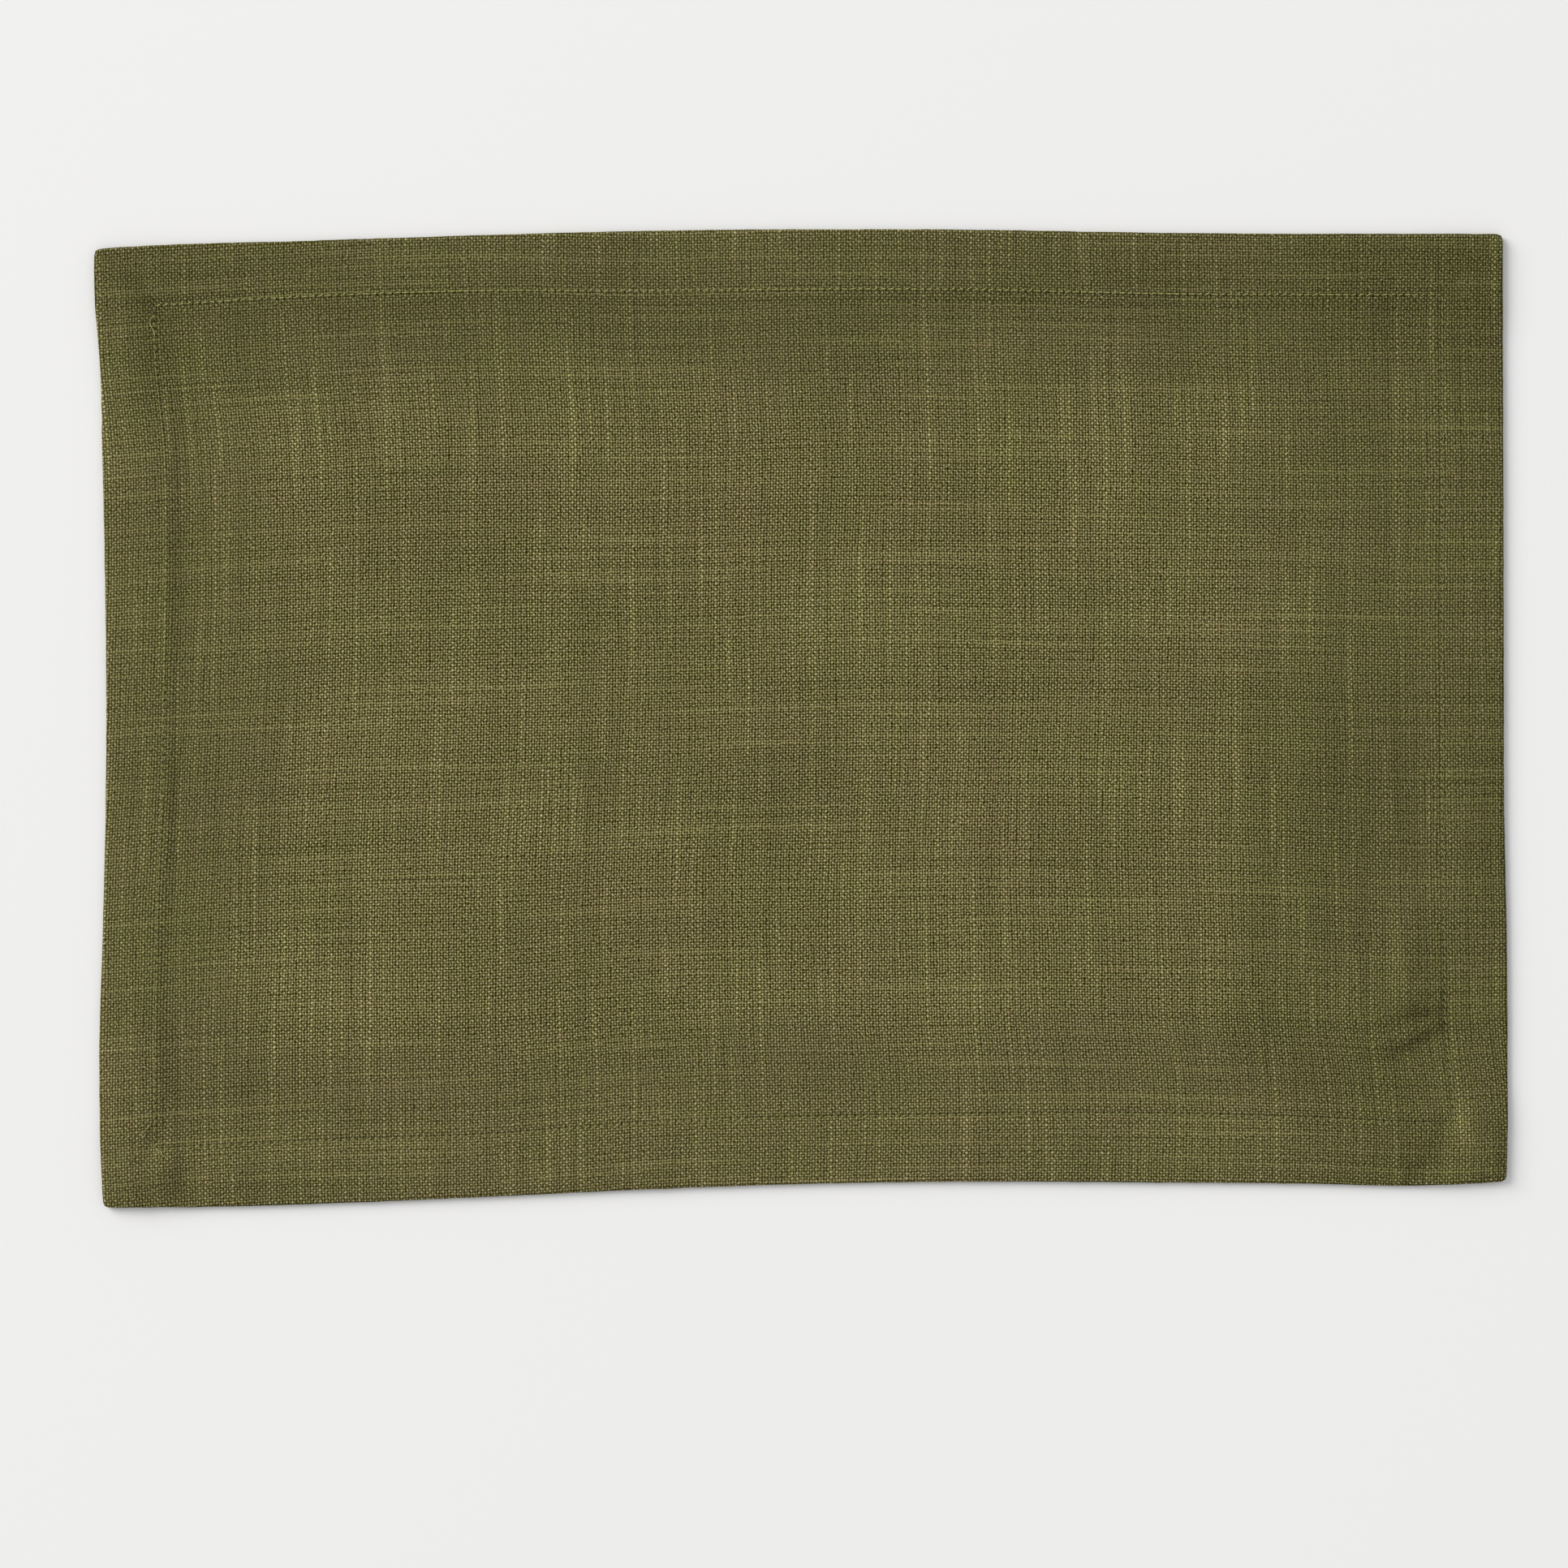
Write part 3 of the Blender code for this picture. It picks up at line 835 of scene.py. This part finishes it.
def ridge(place, half, middle_line):
    """A round yarn about a middle line that goes up and down, and nothing beside it."""
    ratio = place / half
    inside = ratio * ratio * -1 + 1
    outside = inside.math("LESS_THAN", 0.0)
    return inside.math("MAXIMUM", 0.0).math("SQRT") * ROUNDNESS + middle_line - outside * OUT_OF_SIGHT


def wave(place, over):
    """A yarn's middle line: up at the crossings that it goes over, down at the others."""
    return (place * math.pi).math("COSINE") * over * RISE


def yarn_heights(at, given, warp_slub, weft_slub):
    warp_body = swing(at.warp * 7.31, at.along * 0.02) * BODY_VARIES * given["Unevenness"]
    weft_body = swing(at.across * 0.02 + 300, at.weft * 7.31) * BODY_VARIES * given["Unevenness"]
    warp_half = given["Fullness"] + warp_body + warp_slub * SLUB_SWELLS
    weft_half = given["Fullness"] + weft_body + weft_slub * SLUB_SWELLS
    warp_height = ridge(at.in_warp, warp_half, wave(at.in_weft, at.over))
    weft_height = ridge(at.in_weft, weft_half, wave(at.in_warp, at.over * -1))
    return warp_height, weft_height - given["Weft Sink"]


print("heights run from", FLOOR_OF_HOLES, "in a hole to", TOP_OF_YARNS, "on a crown")

# %% Shades and tints
EACH_TINT = 0.8
SLOW_TINT = 0.8


def yarn_shades(at, given, warp_slub, weft_slub):
    """How light each yarn is: by itself, in its band, in a slub and by its fibres."""
    warp_shade = swing(at.warp * 5.77 + 40, at.along * 0.007) * WARP.each
    warp_shade += swing(at.warp * 0.07, at.along * 0.006) * WARP.bands + warp_slub * WARP.slubs
    warp_shade += swing(at.across * 6.0, at.along * 3.0) * given["Fibres"]
    weft_shade = swing(at.across * 0.007 + 80, at.weft * 5.77) * WEFT.each
    weft_shade += swing(at.across * 0.008 + 20, at.weft * 0.10) * WEFT.bands + weft_slub * WEFT.slubs
    weft_shade += swing(at.across * 3.0, at.along * 6.0) * given["Fibres"] - given["Weft Dim"]
    return warp_shade, weft_shade


def dye_tint(at, x, y, on_top):
    """Where the dye leans to: by yarn, by crossing and slowly over the cloth."""
    warp_tint = swing(at.warp * 9.13 + 7, at.along * 0.02)
    weft_tint = swing(at.across * 0.02 + 31, at.weft * 9.13)
    tint = choose(on_top, weft_tint, warp_tint) * EACH_TINT
    tint += swing(at.warp * 3.3 + 50, at.weft * 3.3 + 20)
    return tint + swing(x * 0.02 + 70, y * 0.02 + 30, detail=2) * SLOW_TINT


print("yarns differ in shade by up to", WEFT.each, "and slubs are lighter by", WEFT.slubs)

# %% The plain weave group
YARN_PITCH = 0.883 * MM
WEAVE_SETTINGS = {
    "Pitch": YARN_PITCH,
    "Wander": 1.0,
    "Fullness": 0.40,
    "Weft Sink": 0.09,
    "Weft Dim": 0.16,
    "Wobble": 0.45,
    "Luck": 0.06,
    "Fibres": 2.0,
    "Unevenness": 1.0,
    "Slubs": 1.0,
    "Clouds": 0.22,
    "Hues": 0.55,
}


def plain_weave_group():
    group, source, sink = new_group("plain weave", WEAVE_SETTINGS, ("Height", "Shade", "Tint"))
    given = {label: Wire(group, source.outputs[label]) for label in WEAVE_SETTINGS}
    x, y = (wire / given["Pitch"] for wire in coordinates(group, source.outputs["Vector"]))
    at = crossing_at(x, y, given)
    slubs = slubs_at(at, given)
    warp_height, weft_height = yarn_heights(at, given, *slubs)
    on_top = warp_height.math("GREATER_THAN", weft_height)
    height = warp_height.math("MAXIMUM", weft_height).math("MAXIMUM", FLOOR_OF_HOLES)
    warp_shade, weft_shade = yarn_shades(at, given, *slubs)
    luck = (chance(at.warp, at.weft) - 0.5) * given["Luck"]
    clouds = swing(x * 0.012 + 5, y * 0.014, detail=2) * given["Clouds"]
    results = {
        "Height": (height - FLOOR_OF_HOLES) / (TOP_OF_YARNS - FLOOR_OF_HOLES),
        "Shade": choose(on_top, weft_shade, warp_shade) * given["Unevenness"] + luck + clouds,
        "Tint": dye_tint(at, x, y, on_top) * given["Hues"],
    }
    for label, wire in results.items():
        group.links.new(wire.socket, sink.inputs[label])
    return group


weave_group = plain_weave_group()
print("plain weave group:", len(weave_group.nodes), "nodes")

# %% [markdown]
# ## The finish
#
# Light gets caught between yarns, so a hole is painted dark and brown as
# painted shade, while the crown of a yarn gets a pale, slightly grey painted
# highlight. A ColorRamp turns the weave's height into the yarn's colour with
# that painted shade and highlight in it. The shade of each yarn then
# lightens or darkens it, and its tint leans towards moss green or brown, as
# yarns from different dye lots do.
#
# The weave stands out more in the middle of the mat than in the strip along
# the thick hem, where the iron pressed the yarns together, and that strip is
# a little greener. The strip is also darker, which is painted shade,
# heaviest down the right and far sides. That is a slow mask on the same
# coordinates, with its own weight on each side. The tones that were stored
# on the points add the painted shade and highlight of the creases and the
# hem, and the dye's bands.
#
# The seam map brings in the sewing. Along the stitches the cloth is pulled
# into a trough, and its shadow is painted along it; each needle hole is a
# spot of painted shade of its own. Both lie a hair inside the thread, because
# the thick hem holds the thread up. The painted shade of the holes is fainter
# down the right side.

# %% Colours and how to mix them
# The yarn's colour by height, with painted shade in the holes and a painted highlight on the crowns.
YARN_COLOUR_AND_PAINTED_LIGHT = (
    (0.00, (0.012, 0.008, 0.0001)),
    (0.35, (0.020, 0.0155, 0.0003)),
    (0.60, (0.080, 0.068, 0.011)),
    (0.82, (0.180, 0.158, 0.056)),
    (1.00, (0.540, 0.490, 0.265)),
)
MOSS = (0.90, 1.03, 0.80)
UMBER = (1.10, 0.97, 1.20)
EVEN_COLOUR = (0.130, 0.115, 0.046)


def colour_ramp(tree, factor, stops):
    node = tree.nodes.new("ShaderNodeValToRGB")
    plug(tree, factor, node.inputs["Fac"])
    elements = node.color_ramp.elements
    while len(elements) < len(stops):
        elements.new(0.5)
    for element, (place, colour) in zip(elements, stops):
        element.position = place
        element.color = (*colour, 1)
    return node.outputs["Color"]


def mix_colours(tree, factor, first, second, blend="MIX"):
    """Two colours mixed by a share of factor. Either can be a socket, a wire or numbers."""
    node = tree.nodes.new("ShaderNodeMix")
    node.data_type = "RGBA"
    node.blend_type = blend
    plug(tree, factor, node.inputs[0])
    for value, slot in ((first, node.inputs[6]), (second, node.inputs[7])):
        if isinstance(value, tuple):
            slot.default_value = (*value, 1)
        else:
            tree.links.new(getattr(value, "socket", value), slot)
    return node.outputs[2]


print("yarn tones run from", YARN_COLOUR_AND_PAINTED_LIGHT[0][1], "to", YARN_COLOUR_AND_PAINTED_LIGHT[-1][1])

# %% What the strips by the hem and the seam do
# Where the strip along an edge begins and where it is full, how much darker
# it is there as painted shade, how much of the weave's contrast is lost, and
# how much greener.
Strip = namedtuple("Strip", "begins full darker flatter greener")
LEFT_STRIP = Strip(-158 * MM, -190 * MM, 0.02, 0.22, 0.05)
RIGHT_STRIP = Strip(115 * MM, 200 * MM, 0.13, 0.25, 0.14)
NEAR_STRIP = Strip(-94 * MM, -122 * MM, 0.04, 0.18, -0.03)
FAR_STRIP = Strip(80 * MM, 122 * MM, 0.10, 0.25, 0.06)
RAGGED_PER_METRE = 22
RAGGED_BY = 30 * MM
# Painted shade along the stitches and in each needle hole, fainter down the right side.
SEAM_SHADOW = 0.11
SEAM_SHADOW_REACH = 1.5 * MM
SHADOW_INWARD = 0.40 * MM
NEEDLE_HOLE = 0.56 * MM
HOLE_PAINTED_SHADE = 0.55
FAINT_SEAM = (190 * MM, 203 * MM)
FAINTNESS = 0.60


def border_strips(x, y):
    """Painted shade near the hem, and how much flatter and greener the weave is, side by side."""
    ragged = swing(x * RAGGED_PER_METRE, y * RAGGED_PER_METRE, detail=2) * RAGGED_BY
    darker = flatter = greener = x * 0
    for place, strip in ((x, LEFT_STRIP), (x, RIGHT_STRIP), (y, NEAR_STRIP), (y, FAR_STRIP)):
        inside = (place + ragged).ramp(strip.begins, strip.full)
        darker += inside * strip.darker
        greener += inside * strip.greener
        flatter = flatter.math("MAXIMUM", inside * strip.flatter)
    return darker, flatter, greener


def painted_seam_light(stitch, inset, x):
    """The light left under the painted shade by the stitches: less in the trough, little in a hole."""
    shown = x.ramp(*FAINT_SEAM) * -FAINTNESS + 1
    away = (inset - HEM_WIDTH - SHADOW_INWARD).math("ABSOLUTE")
    trough = away.ramp(SEAM_SHADOW_REACH, 0.0) * SEAM_SHADOW
    to_hole = ((stitch + 0.5).math("FRACT") - 0.5) * STITCH_PITCH
    spread = (to_hole * to_hole + away * away).math("SQRT")
    hole = spread.ramp(NEEDLE_HOLE, NEEDLE_HOLE / 2) * shown * HOLE_PAINTED_SHADE
    return (trough * -1 + 1) * (hole * -1 + 1)


print("a needle hole takes", HOLE_PAINTED_SHADE, "of the light, and less on the right side")

# %% The linen
BASE_BRIGHTNESS = 0.87
FULL_TINT = 0.75
LINEN_SURFACE = {
    "Roughness": 0.88,
    "Specular IOR Level": 0.02,
    "Sheen Weight": 0.02,
    "Sheen Roughness": 0.45,
    "Sheen Tint": (0.60, 0.54, 0.22, 1),
}


def start_material(name, surface):
    """A material whose Principled BSDF has the constant values of surface."""
    material = bpy.data.materials.new(name)
    material.use_nodes = True
    shader = material.node_tree.nodes["Principled BSDF"]
    for label, value in surface.items():
        shader.inputs[label].default_value = value
    return material, material.node_tree, shader


def add_bump(tree, shader, height, strength, depth):
    bump = tree.nodes.new("ShaderNodeBump")
    bump.inputs["Strength"].default_value = strength
    bump.inputs["Distance"].default_value = depth
    tree.links.new(height.socket, bump.inputs["Height"])
    tree.links.new(bump.outputs["Normal"], shader.inputs["Normal"])


def map_wires(tree, name):
    """One of the cloth's UV maps, whole and as two coordinates."""
    node = tree.nodes.new("ShaderNodeUVMap")
    node.uv_map = name
    place = node.outputs["UV"]
    return place, *coordinates(tree, place)


def linen_material():
    material, tree, shader = start_material("slub_linen", LINEN_SURFACE)
    yarns, x, y = map_wires(tree, "yarns")
    _, stitch, inset = map_wires(tree, "seam")
    weave = tree.nodes.new("ShaderNodeGroup")
    weave.node_tree = weave_group
    tree.links.new(yarns, weave.inputs["Vector"])
    height, shade, tint = (Wire(tree, socket) for socket in weave.outputs)
    # The stored tone: painted shade and highlight of creases and hem, and the dye's bands.
    noted = tree.nodes.new("ShaderNodeAttribute")
    noted.attribute_name = "tone"
    painted_light_and_bands = Wire(tree, noted.outputs["Fac"]) * -1 + 1

    # The strips, the stitches and the stored tones bring painted shade into the brightness.
    darker, flatter, greener = border_strips(x, y)
    brightness_with_painted_shade = (shade - darker + BASE_BRIGHTNESS) * painted_seam_light(stitch, inset, x) * painted_light_and_bands
    dye = mix_colours(tree, (tint - greener).ramp(-FULL_TINT, FULL_TINT), MOSS, UMBER)
    tone = mix_colours(tree, flatter, colour_ramp(tree, height, YARN_COLOUR_AND_PAINTED_LIGHT), EVEN_COLOUR)
    tone = mix_colours(tree, 1.0, tone, brightness_with_painted_shade, "MULTIPLY")
    tone = mix_colours(tree, 1.0, tone, dye, "MULTIPLY")
    tree.links.new(tone, shader.inputs["Base Color"])
    add_bump(tree, shader, height, strength=0.6, depth=0.30 * MM)
    return material


linen = linen_material()
cloth.data.materials.append(linen)
print("linen material:", len(linen.node_tree.nodes), "nodes")

# %% [markdown]
# ## The sewing
#
# A lockstitch shows as a row of short threads, one on each face of the
# cloth, and between every two of them both threads go down the same needle
# hole. There are more than a thousand, so one small tube is modelled with
# care and then repeated into a single mesh. A thread could also be a curve
# with a bevel, but that many curves are slow to handle.
#
# The tube is a circle that is extruded and moved on, time after time. It
# arches over the cloth and dives into it at both ends.

# %% One stitch
THREAD_RADIUS = 0.22 * MM
THREAD_SIDES = 6
THREAD_FLATNESS = 0.62
THREAD_TWIST = math.radians(48)
STITCH_SHARE = 0.84
# Along the stitch as a share of its half length, and the height in mm.
STITCH_ARC = (
    (-1.0, -0.40), (-0.86, -0.10), (-0.58, 0.05), (-0.2, 0.11),
    (0.2, 0.11), (0.58, 0.05), (0.86, -0.10), (1.0, -0.40),
)


def grow_tube(bm, points, radius, sides=THREAD_SIDES, flatness=THREAD_FLATNESS, twist=THREAD_TWIST):
    """A closed tube: its end cap is extruded, turned and moved from point to point."""
    ring = bmesh.ops.create_circle(bm, segments=sides, radius=radius, cap_ends=True)["verts"]
    bmesh.ops.scale(bm, vec=(1, flatness, 1), verts=ring)
    cap = ring[0].link_faces[0]
    facing = Vector((0, 0, 1))
    place = Vector((0, 0, 0))
    for k, point in enumerate(points):
        if k > 0:
            made = bmesh.ops.extrude_face_region(bm, geom=[cap])["geom"]
            ring = [item for item in made if isinstance(item, bmesh.types.BMVert)]
            cap = next(item for item in made if isinstance(item, bmesh.types.BMFace))
        heading = points[min(k + 1, len(points) - 1)] - points[max(k - 1, 0)]
        turn = facing.rotation_difference(heading).to_matrix()
        bmesh.ops.rotate(bm, cent=place, matrix=turn, verts=ring)
        bmesh.ops.rotate(bm, cent=place, matrix=Matrix.Rotation(twist, 3, heading), verts=ring)
        bmesh.ops.translate(bm, vec=point - place, verts=ring)
        facing, place = heading, point


def stitch_template():
    bm = bmesh.new()
    half = STITCH_PITCH * STITCH_SHARE / 2
    grow_tube(bm, [Vector((along * half, 0, height * MM)) for along, height in STITCH_ARC], THREAD_RADIUS)
    return finished_mesh(bm, "one_stitch")


one_stitch = stitch_template()
print("one stitch has", len(one_stitch.polygons), "faces")

# %% [markdown]
# The holes are evenly spaced along the nominal seam and are then moved as
# the cloth was, so they stay on the trough. The height isn't worked out
# again: a ray dropped on the finished cloth finds it, for the top and for
# the underside alike. Every stitch is laid from one hole to the next, turned
# a few degrees, since the thread leans the way it was twisted. No two sink
# equally deep between the yarns, which is why a row of them looks broken.

# %% Needle holes and the rows of stitches
SEAM_CORNERS = ((-1, 1), (1, 1), (1, -1), (-1, -1))
STITCH_SEED = 12
STITCH_SLANT = math.radians(14)
STITCH_SLANT_VARIES = math.radians(20)
LEAST_SINK = -0.012 * MM
MOST_SINK = 0.10 * MM


def needle_holes():
    """Where the needle went through, going clockwise round the real mat."""
    holes = []
    for start, end in zip(SEAM_CORNERS, SEAM_CORNERS[1:] + SEAM_CORNERS[:1]):
        count = STITCHES_X if start[1] == end[1] else STITCHES_Y
        for step in range(count):
            spot = Vector(start).lerp(Vector(end), step / count)
            holes.append((spot.x * SEAM_HALF_X, spot.y * SEAM_HALF_Y))
    x, y = real_plan(*np.array(holes).T)
    return [Vector((a - CENTRE_X, b - CENTRE_Y)) for a, b in zip(x, y)]


cloth_surface = BVHTree.FromObject(cloth, bpy.context.evaluated_depsgraph_get())


def cloth_height(x, y, side=1):
    """Height of the cloth's top, or of its underside where side is -1."""
    start = Vector((x, y, side))
    return cloth_surface.ray_cast(start, Vector((0, 0, -side)))[0].z


def sew(name, side, draws):
    """All the stitches of one face of the mat as one mesh."""
    bm = bmesh.new()
    holes = needle_holes()
    for hole, next_hole in zip(holes, holes[1:] + holes[:1]):
        middle = (hole + next_hole) / 2
        heading = math.atan2(next_hole.y - hole.y, next_hole.x - hole.x)
        heading += side * STITCH_SLANT + draws.uniform(-1, 1) * STITCH_SLANT_VARIES
        sink = draws.uniform(LEAST_SINK, MOST_SINK)
        height = cloth_height(middle.x, middle.y, side) - side * sink
        bm.from_mesh(one_stitch)
        bm.verts.ensure_lookup_table()
        placed = Matrix.Translation((middle.x, middle.y, height)) @ Matrix.Rotation(heading, 4, "Z")
        placed = placed @ Matrix.Diagonal((1, side, side, 1))
        bmesh.ops.transform(bm, matrix=placed, verts=bm.verts[-len(one_stitch.vertices):])
    mesh = bpy.data.meshes.new(name)
    bm.to_mesh(mesh)
    bm.free()
    mesh.shade_smooth()
    return add_object(name, mesh)


draws = random.Random(STITCH_SEED)
top_stitches = sew("top_stitches", 1, draws)
bobbin_stitches = sew("bobbin_stitches", -1, draws)
bpy.data.meshes.remove(one_stitch)
print("stitches on each face:", len(needle_holes()))

# %% [markdown]
# Where a row of stitches starts and ends, the machine leaves a thread. One
# is curled in a small loop beside the far left corner and two are knotted
# at the near left corner. Each is a short list of points, in mm, with the
# height above the cloth as the third number, and a curve through the points
# is laid out by interpolating between them.

# %% Thread ends
THREAD_ENDS = {
    "thread_loop": (
        (-205.2, 126.4, -0.2), (-205.3, 127.7, 0.25), (-206.3, 128.7, 0.40), (-207.6, 128.3, 0.45),
        (-208.2, 126.6, 0.45), (-207.7, 125.0, 0.40), (-207.0, 123.6, 0.25), (-206.6, 121.9, 0.10),
    ),
    "corner_knot": (
        (-205.9, -138.6, -0.2), (-205.2, -138.3, 0.35), (-204.5, -138.9, 0.45), (-204.9, -139.8, 0.30),
        (-205.5, -139.3, 0.60), (-204.8, -138.8, 0.75), (-204.2, -139.6, 0.40), (-203.6, -140.2, 0.12),
    ),
    "side_knot": (
        (-207.6, -129.0, -0.2), (-208.3, -130.1, 0.30), (-209.3, -131.5, 0.35), (-210.3, -132.3, 0.40),
        (-210.9, -133.1, 0.40), (-210.3, -133.8, 0.50), (-209.7, -133.1, 0.60), (-210.3, -132.6, 0.20),
    ),
}
THREAD_END_RADIUS = 0.14 * MM
THREAD_END_SIDES = 8
THREAD_END_TWIST = math.radians(20)
STEPS_BETWEEN = 6


def smooth_points(corners):
    """A smooth path through the corners, by Catmull-Rom interpolation."""
    ends = [2 * corners[0] - corners[1], *corners, 2 * corners[-1] - corners[-2]]
    path = []
    for a, b, c, d in zip(ends, ends[1:], ends[2:], ends[3:]):
        for step in range(STEPS_BETWEEN):
            t = step / STEPS_BETWEEN
            bend = (2 * a - 5 * b + 4 * c - d) * t**2 + (3 * b - a - 3 * c + d) * t**3
            path.append((2 * b + (c - a) * t + bend) / 2)
    return path + [corners[-1]]


def thread_end(name, points):
    corners = []
    for x, y, above in points:
        corners.append(Vector((x * MM, y * MM, cloth_height(x * MM, y * MM) + above * MM)))
    bm = bmesh.new()
    path = smooth_points(corners)
    grow_tube(bm, path, THREAD_END_RADIUS, sides=THREAD_END_SIDES, twist=THREAD_END_TWIST)
    mesh = finished_mesh(bm, name)
    mesh.shade_smooth()
    return add_object(name, mesh)


thread_ends = [thread_end(name, points) for name, points in THREAD_ENDS.items()]
print("thread ends:", [piece.name for piece in thread_ends])

# %% [markdown]
# The thread is smoother than the cloth and a little greener. Its twist is
# already in the tubes, so the material only needs fine fibres. Down the right
# side, where the holes are fainter, the thread is darkened by painted shade.

# %% The thread's material
THREAD_TONES = ((0.3, (0.22, 0.215, 0.053)), (0.7, (0.41, 0.40, 0.11)))
THREAD_SURFACE = {"Roughness": 0.6, "Sheen Weight": 0.15}
FIBRES_PER_METRE = 3500
# How much painted shade darkens the thread down the right side.
THREAD_RIGHT_PAINTED_SHADE = 0.25


def thread_material():
    material, tree, shader = start_material("sewing_thread", THREAD_SURFACE)
    place = tree.nodes.new("ShaderNodeTexCoord").outputs["Object"]
    texture = tree.nodes.new("ShaderNodeTexNoise")
    texture.inputs["Scale"].default_value = FIBRES_PER_METRE
    texture.inputs["Detail"].default_value = 2
    tree.links.new(place, texture.inputs["Vector"])
    fibres = Wire(tree, texture.outputs["Fac"])
    x, _ = coordinates(tree, place)
    # Painted shade darkens the thread down the right side.
    painted_shade_right = x.ramp(*FAINT_SEAM) * -THREAD_RIGHT_PAINTED_SHADE + 1
    tone = mix_colours(tree, 1.0, colour_ramp(tree, fibres, THREAD_TONES), painted_shade_right, "MULTIPLY")
    tree.links.new(tone, shader.inputs["Base Color"])
    add_bump(tree, shader, fibres, strength=0.5, depth=0.04 * MM)
    return material


thread = thread_material()
sewing = [top_stitches, bobbin_stitches, *thread_ends]
for piece in sewing:
    piece.data.materials.append(thread)
print("thread material on", len(sewing), "pieces")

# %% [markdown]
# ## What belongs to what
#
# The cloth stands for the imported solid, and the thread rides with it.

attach(cloth, "root")
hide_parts("placemat_cloth")
for piece in sewing:
    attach(piece, "root")

# %% [markdown]
# ## The table, the light and the camera
#
# The mat lies on a pale matt surface. Soft light comes from a big window to
# the upper left, and the white room fills the rest, so there are hardly any
# shadows. The camera looks straight down from far enough away that the view
# is nearly parallel.

# %% The table
TABLE_REACH = 6
TABLE_DROP = 0.06 * MM
TABLE_SURFACE = {"Base Color": (0.857, 0.853, 0.852, 1), "Roughness": 0.9, "Specular IOR Level": 0.1}


def add_table():
    bm = bmesh.new()
    bmesh.ops.create_grid(bm, x_segments=1, y_segments=1, size=TABLE_REACH)
    bmesh.ops.translate(bm, vec=(0, 0, -TABLE_DROP), verts=bm.verts)
    mesh = bpy.data.meshes.new("table")
    bm.to_mesh(mesh)
    bm.free()
    mesh.materials.append(start_material("pale_table", TABLE_SURFACE)[0])
    return add_object("table", mesh)


add_table()
print("the table lies", round(TABLE_DROP / MM, 2), "mm below the mat")

# %% Light and camera
WINDOW_SIDE = 8.3
WINDOW_PLACE = (-9.4, 6.2, 6.7)
WINDOW_POWER = 1560
WINDOW_COLOUR = (1.0, 0.985, 0.96)
ROOM_COLOUR = (0.98, 0.99, 1.0, 1)
ROOM_STRENGTH = 0.60
VIEW_WIDTH = 0.5023
VIEW_CENTRE = (-0.0054, -0.0210)
CAMERA_HEIGHT = 1.5
SENSOR_WIDTH = 36


def add_window():
    light = bpy.data.lights.new("window", "AREA")
    light.shape = "RECTANGLE"
    light.size = WINDOW_SIDE
    light.size_y = WINDOW_SIDE
    light.energy = WINDOW_POWER
    light.color = WINDOW_COLOUR
    lamp = add_object("window", light)
    lamp.location = WINDOW_PLACE
    lamp.rotation_mode = "QUATERNION"
    lamp.rotation_quaternion = (-lamp.location).to_track_quat("-Z", "Y")


def add_room_light():
    world = bpy.data.worlds.new("white room")
    world.use_nodes = True
    background = world.node_tree.nodes["Background"]
    background.inputs["Color"].default_value = ROOM_COLOUR
    background.inputs["Strength"].default_value = ROOM_STRENGTH
    bpy.context.scene.world = world


def add_camera():
    data = bpy.data.cameras.new("camera")
    data.sensor_width = SENSOR_WIDTH
    data.lens = SENSOR_WIDTH * CAMERA_HEIGHT / VIEW_WIDTH
    camera = add_object("camera", data)
    camera.location = (*VIEW_CENTRE, CAMERA_HEIGHT)
    return camera


add_window()
add_room_light()
bpy.context.scene.camera = add_camera()
bpy.context.scene.view_settings.view_transform = "Standard"
print("lens in mm:", round(bpy.context.scene.camera.data.lens, 1))
